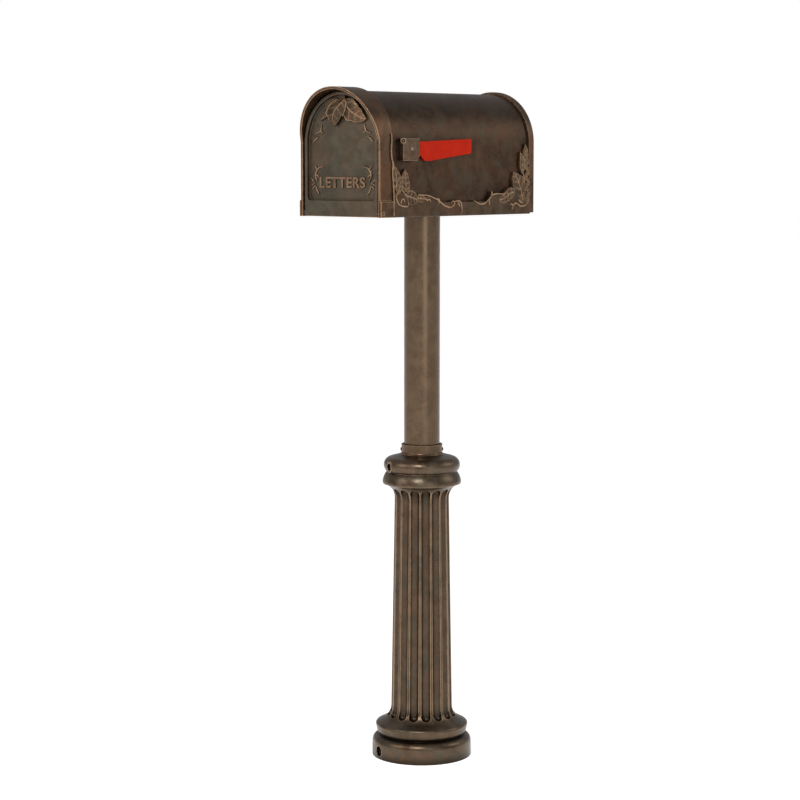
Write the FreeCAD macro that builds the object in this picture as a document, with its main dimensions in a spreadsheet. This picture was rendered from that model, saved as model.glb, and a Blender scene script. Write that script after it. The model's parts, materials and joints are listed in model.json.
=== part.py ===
import FreeCAD
import Part
import Sketcher
import math
import os

# Curbside mailbox on a round post. +Z is up, the box front faces -Y, and the origin is the post axis at
# ground level. Box pieces are drawn with z counted from the bottom of the box and raised by their Placement.

doc = FreeCAD.newDocument("PostMailbox")
sheet = doc.addObject("Spreadsheet::Sheet", "Sizes")

sizes = [
    # box as a whole
    ("box_bottom", 1163.0),
    ("arch_centre", 151.6),
    ("front_reach", 250.0),
    ("rear_reach", 238.5),
    # barrel and floor
    ("barrel_half", 104.4),
    ("barrel_sheet", 2.5),
    ("barrel_foot", 4.0),
    ("floor_under", 8.0),
    ("floor_sheet", 3.0),
    ("floor_flange", 25.0),
    # front hood
    ("hood_proud", 7.0),
    ("lip_wide", 8.6),
    ("hood_wall", 5.3),
    ("hood_depth", 38.0),
    ("hood_round", 1.6),
    ("visor_lean", 24.5),
    ("plinth_top", 34.0),
    ("plinth_step", 2.0),
    ("stop_lip", 4.0),
    ("lip_reach", 14.0),
    ("sill_back", 22.4),
    ("heel_room", 18.0),
    # rear cap
    ("cap_proud", 5.6),
    ("cap_band", 17.0),
    ("cap_plate", 3.2),
    ("cap_foot", 2.5),
    ("cap_round", 2.8),
    # bottom rails
    ("rail_proud", 10.6),
    ("rail_top", 29.0),
    ("rail_wall", 4.0),
    ("rail_seam", -4.0),
    ("rail_gap", 0.6),
    ("rail_round", 2.0),
    ("relief", 4.2),
    # door
    ("door_gap", 4.1),
    ("door_thick", 12.2),
    ("door_inset", 1.4),
    ("door_foot", 0.8),
    ("rim_wide", 7.0),
    ("recess_deep", 8.6),
    ("apron_top", 33.5),
    ("recess_corner", 8.0),
    ("rim_round", 1.6),
    ("heel_round", 6.0),
    ("hinge_up", 8.0),
    ("hinge_pin_rad", 3.0),
    ("hinge_bore", 10.0),
    ("running_gap", 0.05),
    ("clear_gap", 0.4),
    # magnet catch
    ("magnet_half", 14.0),
    ("magnet_drop", 17.0),
    ("magnet_tall", 8.0),
    ("strike_thick", 1.5),
    ("magnet_deep", 8.0),
    # leaf pull
    ("pull_stand", 7.0),
    ("pull_thick", 7.0),
    # flag and its bracket
    ("flag_axis_back", 91.6),
    ("flag_drop", 13.0),
    ("flag_long", 189.2),
    ("flag_thick", 3.0),
    ("flag_off", 3.0),
    ("flag_tip_up", 20.0),
    ("flag_tip_down", 9.5),
    ("flag_heel_down", 25.2),
    ("flag_arm", 13.8),
    ("bracket_deep", 11.6),
    ("bracket_long", 49.0),
    ("bracket_tall", 45.5),
    ("bracket_low", 25.1),
    ("bracket_fore", 26.9),
    ("bracket_cover", 5.0),
    ("bracket_round", 1.0),
    ("pivot_rad", 3.0),
    ("bushing_wall", 1.0),
    # post tube, mounting head, collar
    ("tube_rad", 38.1),
    ("tube_wall", 3.2),
    ("tube_foot", 6.0),
    ("fit_gap", 0.1),
    ("head_plate", 6.0),
    ("head_half", 64.0),
    ("plug_long", 45.0),
    ("bolt_pitch", 100.0),
    ("bolt_rad", 4.0),
    ("collar_lift", 0.5),
    ("collar_tall", 21.5),
    ("collar_wall", 5.7),
    ("collar_turn", 42.0),
    # cast base
    ("base_turn", 72.5),
    ("ring_past", 68.5),
    ("ring_top", 31.0),
    ("neck_past", 52.4),
    ("neck_up", 45.5),
    ("bead_past", 59.9),
    ("bead_up", 63.0),
    ("edge_past", 56.4),
    ("edge_up", 73.0),
    ("shoulder_past", 43.9),
    ("shoulder_up", 79.5),
    ("shaft_low_past", 27.4),
    ("shaft_low", 107.0),
    ("shaft_high_past", 19.9),
    ("shaft_high", 560.0),
    ("cap_lip_past", 44.9),
    ("cap_lip_up", 591.0),
    ("groove_past", 36.8),
    ("groove_up", 617.0),
    ("torus_rad", 18.0),
    ("torus_top_past", 27.9),
    ("torus_top", 648.8),
    ("column_top", 654.0),
    ("shaft_play", 0.5),
    ("base_wall", 6.6),
    ("flutes", 16.0),
    ("flute_rad", 10.3),
    ("flute_out", 3.5),
    ("flute_rise", 13.0),
    ("flute_drop", 13.0),
    ("set_screw_up", 630.0),
    ("set_boss_rad", 12.0),
    ("boss_sink", 3.4),
    ("foot_screw_up", 17.0),
    # foot flange
    ("flange_play", 5.5),
    ("flange_thick", 12.0),
    ("socket_wall", 9.8),
    ("socket_top", 70.0),
    ("anchor_circle", 150.0),
    ("anchor_rad", 6.5),
    # screws, bolts and washers
    ("side_screw_rad", 2.0),
    ("small_screw_rad", 1.5),
    ("screw_head_rad", 3.5),
    ("screw_head_tall", 2.0),
    ("set_screw_rad", 3.0),
    ("tap_rad", 4.0),
    ("counter_rad", 7.6),
    ("head_deep", 7.0),
    ("bolt_head_rad", 7.0),
    ("bolt_head_tall", 5.0),
    ("bolt_washer_rad", 9.0),
    ("bolt_washer", 1.6),
]


class Size:
    """A value that remembers the sheet expression it came from."""

    def __init__(self, value, text):
        self.value = float(value)
        self.text = text

    def __add__(self, other):
        other = as_size(other)
        return Size(self.value + other.value, "(%s + %s)" % (self.text, other.text))

    def __sub__(self, other):
        other = as_size(other)
        return Size(self.value - other.value, "(%s - %s)" % (self.text, other.text))

    def __mul__(self, other):
        other = as_size(other)
        return Size(self.value * other.value, "(%s * %s)" % (self.text, other.text))

    def __truediv__(self, other):
        other = as_size(other)
        return Size(self.value / other.value, "(%s / %s)" % (self.text, other.text))

    def __radd__(self, other):
        return as_size(other) + self

    def __rsub__(self, other):
        return as_size(other) - self

    def __rmul__(self, other):
        return as_size(other) * self

    def __neg__(self):
        return Size(-self.value, "(-1 * %s)" % self.text)


def as_size(value):
    if isinstance(value, Size):
        return value
    return Size(value, "(%s)" % repr(float(value)))


class Named:
    """Every sheet alias as an attribute."""


g = Named()
for row, (alias, number) in enumerate(sizes, start=1):
    sheet.set("A%d" % row, alias)
    sheet.set("B%d" % row, repr(number))
    sheet.setAlias("B%d" % row, alias)
    setattr(g, alias, Size(number, "Sizes." + alias))
doc.recompute()


def root(square):
    square = as_size(square)
    return Size(math.sqrt(square.value), "sqrt(%s)" % square.text)


def bind(item, path, length):
    length = as_size(length)
    item.setExpression(path, length.text)


# widths that follow the barrel, heights that follow its arch, and radii that follow the post tube
g.half_width = g.barrel_half + g.rail_proud
g.hood_half = g.barrel_half + g.hood_proud
g.cap_half = g.barrel_half + g.cap_proud
g.magnet_low = g.arch_centre + g.barrel_half - g.magnet_drop
g.flag_axis_up = g.arch_centre - g.flag_drop
g.collar_low = g.column_top + g.collar_lift
g.collar_rad = g.tube_rad + g.fit_gap + g.collar_wall
g.ring_rad = g.tube_rad + g.ring_past
g.neck_rad = g.tube_rad + g.neck_past
g.bead_rad = g.tube_rad + g.bead_past
g.edge_rad = g.tube_rad + g.edge_past
g.shoulder_rad = g.tube_rad + g.shoulder_past
g.shaft_low_rad = g.tube_rad + g.shaft_low_past
g.shaft_high_rad = g.tube_rad + g.shaft_high_past
g.cap_lip_rad = g.tube_rad + g.cap_lip_past
g.groove_rad = g.tube_rad + g.groove_past
g.torus_top_rad = g.tube_rad + g.torus_top_past
g.socket_rad = g.tube_rad + g.fit_gap + g.socket_wall
g.shaft_bore = g.socket_rad + g.shaft_play
g.set_boss_reach = g.torus_top_rad + g.torus_rad - g.boss_sink
g.flange_rad = g.ring_rad - g.base_wall - g.flange_play


# ---- sketches and features -------------------------------------------------------------------------

class Turn:
    """An outline corner whose edge to the next corner is an arc: bend +1 turns left, -1 turns right."""

    def __init__(self, x, y, radius, bend):
        self.x = as_size(x)
        self.y = as_size(y)
        self.radius = as_size(radius)
        self.bend = bend


class Corner:
    """An outline corner whose edge to the next corner is straight."""

    def __init__(self, x, y):
        self.x = as_size(x)
        self.y = as_size(y)
        self.radius = None
        self.bend = 0


class Round:
    """A full circle."""

    def __init__(self, x, y, radius):
        self.x = as_size(x)
        self.y = as_size(y)
        self.radius = as_size(radius)


def corners(points):
    return [Corner(x, y) for x, y in points]


def rectangle(x_low, x_high, y_low, y_high):
    return corners([(x_low, y_low), (x_high, y_low), (x_high, y_high), (x_low, y_high)])


def fix_length(sketch, kind, geometry, place, length):
    length = as_size(length)
    if kind == "Radius":
        index = sketch.addConstraint(Sketcher.Constraint("Radius", geometry, length.value))
    elif abs(length.value) < 1e-9:
        axis = -2 if kind == "DistanceX" else -1
        sketch.addConstraint(Sketcher.Constraint("PointOnObject", geometry, place, axis))
        return
    else:
        index = sketch.addConstraint(Sketcher.Constraint(kind, -1, 1, geometry, place, length.value))
    if "Sizes." in length.text:
        sketch.setExpression("Constraints[%d]" % index, length.text)


def arc_between(start, end, radius, bend):
    half = (end - start) * 0.5
    across = FreeCAD.Vector(-half.y, half.x, 0)
    across.normalize()
    rise = math.sqrt(max(radius ** 2 - half.Length ** 2, 0.0))
    centre = start + half + across * (rise * bend)
    first = math.atan2(start.y - centre.y, start.x - centre.x)
    last = math.atan2(end.y - centre.y, end.x - centre.x)
    circle = Part.Circle(centre, FreeCAD.Vector(0, 0, 1), radius)
    if bend > 0:
        return Part.ArcOfCircle(circle, first, last)
    return Part.ArcOfCircle(circle, last, first)


def draw_loop(sketch, loop):
    if isinstance(loop, Round):
        circle = Part.Circle(FreeCAD.Vector(loop.x.value, loop.y.value, 0), FreeCAD.Vector(0, 0, 1),
                             loop.radius.value)
        index = sketch.addGeometry(circle, False)
        fix_length(sketch, "Radius", index, 0, loop.radius)
        fix_length(sketch, "DistanceX", index, 3, loop.x)
        fix_length(sketch, "DistanceY", index, 3, loop.y)
        return
    edges = []
    for place, corner in enumerate(loop):
        after = loop[(place + 1) % len(loop)]
        start = FreeCAD.Vector(corner.x.value, corner.y.value, 0)
        end = FreeCAD.Vector(after.x.value, after.y.value, 0)
        if corner.radius is None:
            edges.append((sketch.addGeometry(Part.LineSegment(start, end), False), 1, 2))
        else:
            arc = arc_between(start, end, corner.radius.value, corner.bend)
            index = sketch.addGeometry(arc, False)
            edges.append((index, 1, 2) if corner.bend > 0 else (index, 2, 1))
    for place, (index, first, last) in enumerate(edges):
        after, after_first, after_last = edges[(place + 1) % len(edges)]
        sketch.addConstraint(Sketcher.Constraint("Coincident", index, last, after, after_first))
    for corner, (index, first, last) in zip(loop, edges):
        fix_length(sketch, "DistanceX", index, first, corner.x)
        fix_length(sketch, "DistanceY", index, first, corner.y)
        if corner.radius is not None:
            fix_length(sketch, "Radius", index, 0, corner.radius)


def origin_item(body, role):
    return [item for item in body.Origin.OriginFeatures if item.Role == role][0]


def new_body(label):
    body = doc.addObject("PartDesign::Body", label)
    body.Label = label
    return body


def new_sketch(body, plane, loops, level):
    level = as_size(level)
    sketch = body.newObject("Sketcher::SketchObject", body.Label + "_sketch")
    sketch.AttachmentSupport = [(origin_item(body, plane + "_Plane"), "")]
    sketch.MapMode = "FlatFace"
    sketch.AttachmentOffset = FreeCAD.Placement(FreeCAD.Vector(0, 0, level.value), FreeCAD.Rotation())
    if "Sizes." in level.text:
        bind(sketch, "AttachmentOffset.Base.z", level)
    for loop in loops:
        draw_loop(sketch, loop)
    return sketch


def pad(body, plane, loops, low, high):
    """Material from low to high along the axis the plane faces."""
    low = as_size(low)
    high = as_size(high)
    sketch = new_sketch(body, plane, loops, -high if plane == "XZ" else low)
    feature = body.newObject("PartDesign::Pad", body.Label + "_pad")
    feature.Profile = sketch
    feature.Length = (high - low).value
    bind(feature, "Length", high - low)
    doc.recompute()
    return feature


removals = []


def pocket(body, plane, loops, low, high):
    """Removes material from low to high along the axis the plane faces."""
    low = as_size(low)
    high = as_size(high)
    before = body.Tip.Shape.Volume
    sketch = new_sketch(body, plane, loops, -low if plane == "XZ" else high)
    feature = body.newObject("PartDesign::Pocket", body.Label + "_pocket")
    feature.Profile = sketch
    feature.Length = (high - low).value
    bind(feature, "Length", high - low)
    doc.recompute()
    removals.append((feature.Name, before, feature.Shape.Volume))
    return feature


def revolve(body, loops):
    """Turns a profile in the XZ plane about Z."""
    sketch = new_sketch(body, "XZ", loops, 0)
    feature = body.newObject("PartDesign::Revolution", body.Label + "_turned")
    feature.Profile = sketch
    feature.ReferenceAxis = (sketch, ["V_Axis"])
    feature.Angle = 360.0
    doc.recompute()
    return feature


def edge_round(body, radius, wanted):
    """Rounds the edges of the body's last shape for which wanted(edge) is true."""
    names = ["Edge%d" % (place + 1) for place, edge in enumerate(body.Tip.Shape.Edges) if wanted(edge)]
    feature = body.newObject("PartDesign::Fillet", body.Label + "_round")
    feature.Base = (body.Tip if body.Tip != feature else feature.BaseFeature, names)
    feature.Radius = as_size(radius).value
    bind(feature, "Radius", radius)
    doc.recompute()
    return feature


def middle(edge):
    return edge.valueAt((edge.FirstParameter + edge.LastParameter) / 2)


def off_axis(point):
    """Distance of a point of the box from its upright middle plane, or from the arch centre above it."""
    rise = point.z - g.arch_centre.value
    if rise > 0:
        return math.hypot(point.x, rise)
    return abs(point.x)


def close(value, *lengths):
    return any(abs(value - as_size(length).value) < 0.05 for length in lengths)


nodes = []


def keep(item, label):
    item.Label = label
    nodes.append(item)
    return item


def raise_to_box(item):
    item.Placement.Base.z = g.box_bottom.value
    bind(item, "Placement.Base.z", g.box_bottom)


def turn_about_post(item, turn):
    item.Placement = FreeCAD.Placement(FreeCAD.Vector(0, 0, 0),
                                       FreeCAD.Rotation(FreeCAD.Vector(0, 0, 1), turn.value))
    bind(item, "Placement.Rotation.Angle", turn)


def arch(half, low, spring):
    """Closed arch outline: straight legs from low up to spring, then a half circle."""
    half = as_size(half)
    return [Corner(-half, low), Corner(half, low), Turn(half, spring, half, 1),
            Turn(0, spring + half, half, 1), Corner(-half, spring)]


def screw(label, head_rad, head_tall, shank_rad, shank_long, socket=0.0):
    """Screw along Z with a rounded, flat-topped head: the head above z = 0, the shank below."""
    body = new_body(label + "_one")
    crown = as_size(head_rad) * 1.2
    edge = as_size(head_tall) * 0.35
    profile = [Corner(0, -as_size(shank_long)), Corner(shank_rad, -as_size(shank_long)),
               Corner(shank_rad, 0), Corner(head_rad, 0), Turn(head_rad, edge, crown, 1),
               Corner(as_size(head_rad) * 0.4, head_tall), Corner(0, head_tall)]
    revolve(body, [profile])
    if socket:
        flat = as_size(socket)
        reach = flat / math.sqrt(3)
        hexagon = corners([(reach * math.cos(math.radians(60 * k)), reach * math.sin(math.radians(60 * k)))
                           for k in range(6)])
        pocket(body, "XY", [hexagon], as_size(head_tall) * 0.3, as_size(head_tall) + 1.0)
    return body


def group(label, one, spots, lift=None, turn=None):
    """Copies of one fastener at the given spots, as one node of separate solids.

    A spot is (x, y, z, direction the head faces)."""
    links = []
    for x, y, z, facing in spots:
        link = doc.addObject("App::Link", label + "_copy")
        link.LinkedObject = one
        x, y, z = as_size(x), as_size(y), as_size(z)
        link.Placement = FreeCAD.Placement(
            FreeCAD.Vector(x.value, y.value, z.value),
            FreeCAD.Rotation(FreeCAD.Vector(0, 0, 1), FreeCAD.Vector(*facing)))
        for axis, length in (("x", x), ("y", y), ("z", z)):
            if "Sizes." in length.text:
                bind(link, "Placement.Base." + axis, length)
        links.append(link)
    compound = doc.addObject("Part::Compound", label)
    compound.Links = links
    if lift:
        raise_to_box(compound)
    if turn:
        turn_about_post(compound, turn)
    doc.recompute()
    return keep(compound, label)


# ---- levels and faces shared by several pieces -----------------------------------------------------

front = -g.front_reach
hood_back = front + g.hood_depth
lip_front = front + g.lip_reach
barrel_front = lip_front + g.stop_lip
hood_inner = g.hood_half - g.hood_wall
hood_top = g.arch_centre + g.hood_half
cap_front = g.rear_reach - g.cap_band
cap_inside = g.rear_reach - g.cap_plate
barrel_inner = g.barrel_half - g.barrel_sheet
floor_top = g.floor_under + g.floor_sheet
flange_inner = barrel_inner - g.barrel_sheet
door_front = front + g.door_inset
door_back = door_front + g.door_thick
door_half = hood_inner - g.door_gap
hinge_y = door_front + g.door_thick / 2
recess_floor = door_front + g.recess_deep
flag_y = front + g.flag_axis_back
flag_low = g.barrel_half + g.flag_off
flag_high = flag_low + g.flag_thick
tube_inner = g.tube_rad - g.tube_wall
sides = ((1, "right"), (-1, "left"))

# ---- box: barrel, floor, hood, rear cap ------------------------------------------------------------

body = new_body("barrel_shell")
shell = [Corner(barrel_inner, g.barrel_foot), Corner(g.barrel_half, g.barrel_foot),
         Turn(g.barrel_half, g.arch_centre, g.barrel_half, 1),
         Turn(0, g.arch_centre + g.barrel_half, g.barrel_half, 1),
         Corner(-g.barrel_half, g.arch_centre), Corner(-g.barrel_half, g.barrel_foot),
         Corner(-barrel_inner, g.barrel_foot),
         Turn(-barrel_inner, g.arch_centre, barrel_inner, -1),
         Turn(0, g.arch_centre + barrel_inner, barrel_inner, -1),
         Corner(barrel_inner, g.arch_centre)]
pad(body, "XZ", [shell], barrel_front, cap_inside)
side_screw_rad = g.side_screw_rad
rail_screw_up = floor_top + 6.0
rail_screw_spots = (hood_back + 32.0, g.rail_seam - 36.0, g.rail_seam + 44.0, cap_front - 31.5)
hood_screw_y = hood_back - 10.0
cap_screw_y = cap_front + 7.0
wall_screw_ups = (g.rail_top + 31.0, g.arch_centre - 21.6)
side_holes = [Round(y, rail_screw_up, side_screw_rad) for y in rail_screw_spots]
side_holes += [Round(y, up, side_screw_rad) for y in (hood_screw_y, cap_screw_y) for up in wall_screw_ups]
pocket(body, "YZ", side_holes, -g.barrel_half - 1.0, g.barrel_half + 1.0)
bracket_screw_spots = ((flag_y - 21.0, g.flag_axis_up - 12.0), (flag_y + 6.0, g.flag_axis_up - 19.7))
flag_holes = [Round(flag_y, g.flag_axis_up, g.pivot_rad)]
flag_holes += [Round(y, z, side_screw_rad) for y, z in bracket_screw_spots]
pocket(body, "YZ", flag_holes, barrel_inner - 1.0, g.barrel_half + 1.0)
raise_to_box(keep(body, "barrel_shell"))

body = new_body("floor_plate")
channel = corners([(-barrel_inner, g.floor_under), (barrel_inner, g.floor_under),
                   (barrel_inner, g.floor_under + g.floor_flange),
                   (flange_inner, g.floor_under + g.floor_flange), (flange_inner, floor_top),
                   (-flange_inner, floor_top), (-flange_inner, g.floor_under + g.floor_flange),
                   (-barrel_inner, g.floor_under + g.floor_flange)])
pad(body, "XZ", [channel], barrel_front, cap_inside)
bolt_spots = [(g.bolt_pitch / 2 * a, g.bolt_pitch / 2 * b) for a in (-1, 1) for b in (-1, 1)]
pocket(body, "XY", [Round(x, y, g.bolt_rad + g.fit_gap) for x, y in bolt_spots],
       g.floor_under - 1.0, floor_top + 1.0)
pocket(body, "YZ", [Round(y, rail_screw_up, side_screw_rad) for y in rail_screw_spots],
       -barrel_inner - 1.0, barrel_inner + 1.0)
raise_to_box(keep(body, "floor_plate"))

body = new_body("front_hood")
step = g.plinth_step
outline = [Corner(-g.half_width, 0), Corner(g.half_width, 0), Corner(g.half_width, g.plinth_top - step),
           Corner(g.hood_half, g.plinth_top), Turn(g.hood_half, g.arch_centre, g.hood_half, 1),
           Turn(0, hood_top, g.hood_half, 1), Corner(-g.hood_half, g.arch_centre),
           Corner(-g.hood_half, g.plinth_top), Corner(-g.half_width, g.plinth_top - step)]
pad(body, "XZ", [outline], front - g.visor_lean, hood_back)
pocket(body, "XZ", [arch(hood_inner, -1.0, g.arch_centre)], front - g.visor_lean - 1.0, lip_front)
pocket(body, "XZ", [rectangle(-hood_inner, hood_inner, -1.0, g.heel_room)], lip_front - 1.0,
       hood_back - g.sill_back)
lip_inner = hood_inner - g.lip_wide
pocket(body, "XZ", [arch(lip_inner, g.floor_under, g.arch_centre)], lip_front - 1.0, hood_back + 1.0)
pocket(body, "XZ", [arch(g.barrel_half, g.floor_under, g.arch_centre)], barrel_front, hood_back + 1.0)
pocket(body, "XZ", [rectangle(barrel_inner, g.barrel_half, g.barrel_foot, g.floor_under + 1.0),
                    rectangle(-g.barrel_half, -barrel_inner, g.barrel_foot, g.floor_under + 1.0)],
       barrel_front, hood_back + 1.0)
far = front - g.visor_lean - 10.0
pocket(body, "YZ", [corners([(front, -1.0), (front, g.arch_centre), (front - g.visor_lean, hood_top),
                             (far, hood_top + 1.0), (far, -1.0)])],
       -g.half_width - 1.0, g.half_width + 1.0)
edge_round(body, g.hood_round, lambda edge: close(middle(edge).y, hood_back)
           and close(off_axis(middle(edge)), g.hood_half, g.half_width))
pocket(body, "YZ", [Round(hinge_y, g.hinge_up, g.hinge_pin_rad)], -g.half_width - 1.0, g.half_width + 1.0)
pocket(body, "YZ", [Round(hood_screw_y, up, side_screw_rad) for up in wall_screw_ups],
       -g.barrel_half - 4.0, g.barrel_half + 4.0)
raise_to_box(keep(body, "front_hood"))

body = new_body("rear_cap")
pad(body, "XZ", [arch(g.cap_half, g.cap_foot, g.arch_centre)], cap_front, g.rear_reach)
pocket(body, "XZ", [arch(g.barrel_half, g.floor_under, g.arch_centre)], cap_front - 1.0, cap_inside)
pocket(body, "XZ", [rectangle(barrel_inner, g.barrel_half, g.barrel_foot, g.floor_under + 1.0),
                    rectangle(-g.barrel_half, -barrel_inner, g.barrel_foot, g.floor_under + 1.0)],
       cap_front - 1.0, cap_inside)
edge_round(body, g.cap_round, lambda edge: close(middle(edge).y, g.rear_reach)
           and close(off_axis(middle(edge)), g.cap_half))
edge_round(body, g.hood_round, lambda edge: close(middle(edge).y, cap_front)
           and close(off_axis(middle(edge)), g.cap_half))
pocket(body, "YZ", [Round(cap_screw_y, up, side_screw_rad) for up in wall_screw_ups],
       -g.barrel_half - 3.6, g.barrel_half + 3.6)
raise_to_box(keep(body, "rear_cap"))

# ---- bottom rails with their leaf clusters ---------------------------------------------------------

def leaf(base, tip, half):
    """Pointed oval between two points of a sketch plane, as wide as twice half at its middle."""
    wide = tip[0] - base[0]
    tall = tip[1] - base[1]
    bulge = half / 2 + (wide * wide + tall * tall) / (8 * half)
    return [Turn(base[0], base[1], bulge, 1), Turn(tip[0], tip[1], bulge, 1)]


def rail(label, low, high, screw_spots, leaves, discs):
    rail_body = new_body(label)
    outer = g.half_width - g.rail_wall
    section = corners([(g.barrel_half, 0), (g.half_width, 0), (g.half_width, g.rail_top),
                       (g.barrel_half, g.rail_top), (g.barrel_half, g.rail_top - g.rail_wall),
                       (outer, g.rail_top - g.rail_wall), (outer, g.rail_wall),
                       (g.barrel_half, g.rail_wall)])
    pad(rail_body, "XZ", [section], low, high)
    edge_round(rail_body, g.rail_round, lambda edge: close(middle(edge).x, g.half_width)
               and close(middle(edge).z, 0, g.rail_top))
    pad(rail_body, "YZ", [rectangle(y - 8.0, y + 8.0, 1.0, g.rail_top - 1.0) for y in screw_spots],
        g.barrel_half, outer + 1.0)
    for shape in leaves:
        pad(rail_body, "YZ", [leaf(*shape)], g.barrel_half, g.barrel_half + g.relief)
    for y, z, radius in discs:
        pad(rail_body, "YZ", [Round(y, z, radius)], g.barrel_half, g.barrel_half + g.relief + 1.5)
    pocket(rail_body, "YZ", [Round(y, rail_screw_up, side_screw_rad) for y in screw_spots],
           g.barrel_half - 1.0, outer)
    return rail_body


def leaf_up(share):
    """A height between the rail top and the springing of the arch."""
    return g.rail_top + (g.arch_centre - g.rail_top) * share


leaf_foot = g.rail_top - 5.0
front_leaves = (((hood_back + 36.0, leaf_foot), (hood_back + 41.0, leaf_up(0.547)), 13.5),
                ((hood_back + 16.0, leaf_foot), (hood_back + 9.0, leaf_up(0.587)), 11.6))
rear_leaves = (((cap_front - 24.5, leaf_foot - 2.0), (cap_front - 50.5, leaf_up(0.489)), 18.6),
               ((cap_front - 35.5, leaf_foot - 2.0), (cap_front - 101.5, leaf_up(0.016)), 15.2),
               ((cap_front - 17.5, leaf_foot), (cap_front - 25.5, leaf_up(0.832)), 8.2),
               ((cap_front - 10.5, leaf_foot), (cap_front - 10.5, leaf_up(0.97)), 8.1))
rails = (
    ("front", hood_back + g.rail_gap, g.rail_seam - g.rail_gap / 2, rail_screw_spots[:2], front_leaves,
     ((hood_back + 54.0, g.rail_top + 3.0, 15.0),)),
    ("rear", g.rail_seam + g.rail_gap / 2, cap_front - g.rail_gap, rail_screw_spots[2:], rear_leaves, ()),
)
for part_name, low, high, spots, leaves, discs in rails:
    right = rail("rail_%s_right" % part_name, low, high, spots, leaves, discs)
    keep(right, "rail_%s_right" % part_name)
    left = doc.addObject("Part::Mirroring", "rail_%s_left" % part_name)
    left.Source = right
    left.Normal = FreeCAD.Vector(1, 0, 0)
    keep(left, "rail_%s_left" % part_name)
    raise_to_box(right)
    doc.recompute()

# ---- screws inside the box -------------------------------------------------------------------------

one = screw("rail_screws", g.screw_head_rad, g.screw_head_tall, side_screw_rad, g.barrel_sheet * 2 + 5.0)
group("rail_screws", one, [(flange_inner * side, y, rail_screw_up, (-side, 0, 0))
                           for side, word in sides for y in rail_screw_spots], lift=True)
one = screw("hood_screws", g.screw_head_rad, g.screw_head_tall, side_screw_rad, g.barrel_sheet + 3.5)
group("hood_screws", one, [(barrel_inner * side, hood_screw_y, up, (-side, 0, 0))
                           for side, word in sides for up in wall_screw_ups], lift=True)
one = screw("rear_cap_screws", g.screw_head_rad, g.screw_head_tall, side_screw_rad, g.barrel_sheet + 3.2)
group("rear_cap_screws", one, [(barrel_inner * side, cap_screw_y, up, (-side, 0, 0))
                               for side, word in sides for up in wall_screw_ups], lift=True)

# ---- door, its hinge and its catch -----------------------------------------------------------------

body = new_body("door_panel")
pad(body, "XZ", [arch(door_half, g.door_foot, g.arch_centre)], door_front, door_back)
recess = door_half - g.rim_wide
bend = g.recess_corner
pocket(body, "XZ", [[Corner(-recess + bend, g.apron_top), Turn(recess - bend, g.apron_top, bend, 1),
                     Corner(recess, g.apron_top + bend), Turn(recess, g.arch_centre, recess, 1),
                     Turn(0, g.arch_centre + recess, recess, 1), Corner(-recess, g.arch_centre),
                     Turn(-recess, g.apron_top + bend, bend, 1)]],
       door_front - 1.0, recess_floor)
edge_round(body, g.rim_round, lambda edge: close(middle(edge).y, door_front)
           and not close(middle(edge).z, g.door_foot))
edge_round(body, g.rim_round, lambda edge: close(middle(edge).y, recess_floor))
edge_round(body, g.heel_round,
           lambda edge: abs(edge.BoundBox.ZMax - g.door_foot.value) < 0.01
           and abs(edge.BoundBox.YMin - door_back.value) < 0.01)
bore = g.hinge_pin_rad + g.running_gap
pocket(body, "YZ", [Round(hinge_y, g.hinge_up, bore)], door_half - g.hinge_bore, door_half + 1.0)
pocket(body, "YZ", [Round(hinge_y, g.hinge_up, bore)], -door_half - 1.0, g.hinge_bore - door_half)
strike_screw_x = 10.0
strike_up = g.magnet_low + g.magnet_tall / 2
recess_top = g.arch_centre + recess
pull_screw_x = 13.0
pull_screw_up = recess_top - 24.6
small_rad = g.small_screw_rad
pocket(body, "XZ", [Round(strike_screw_x * side, strike_up, small_rad) for side, word in sides]
       + [Round(pull_screw_x * side, pull_screw_up, side_screw_rad) for side, word in sides],
       recess_floor - 1.0, door_back + 1.0)
raise_to_box(keep(body, "door_panel"))

pin_long = g.half_width - door_half + g.hinge_bore - 0.5
one = new_body("hinge_pins_one")
pad(one, "XY", [Round(0, 0, g.hinge_pin_rad)], -pin_long, 0)
group("hinge_pins", one, [(g.half_width * side, hinge_y, g.hinge_up, (side, 0, 0))
                          for side, word in sides], lift=True)
one = new_body("hinge_washers_one")
pad(one, "XY", [Round(0, 0, g.hinge_pin_rad + 2.5), Round(0, 0, g.hinge_pin_rad + g.running_gap)],
    -(g.door_gap - g.clear_gap), 0)
group("hinge_washers", one, [(hood_inner * side, hinge_y, g.hinge_up, (side, 0, 0))
                             for side, word in sides], lift=True)

body = new_body("strike_plate")
pad(body, "XZ", [rectangle(-g.magnet_half - 2.0, g.magnet_half + 2.0, g.magnet_low - 1.0,
                           g.magnet_low + g.magnet_tall)],
    door_back, door_back + g.strike_thick)
pocket(body, "XZ", [Round(strike_screw_x * side, strike_up, small_rad) for side, word in sides],
       door_back - 1.0, door_back + g.strike_thick + 1.0)
raise_to_box(keep(body, "strike_plate"))
one = new_body("strike_screws_one")
pad(one, "XY", [Round(0, 0, small_rad)], -(g.strike_thick + 2.6), 0)
group("strike_screws", one, [(strike_screw_x * side, door_back + g.strike_thick, strike_up, (0, 1, 0))
                             for side, word in sides], lift=True)

magnet_front = door_back + g.strike_thick + g.clear_gap
body = new_body("catch_magnet")
pad(body, "XZ", [rectangle(-g.magnet_half, g.magnet_half, g.magnet_low, g.magnet_low + g.magnet_tall)],
    magnet_front, magnet_front + g.magnet_deep)
raise_to_box(keep(body, "catch_magnet"))

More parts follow.
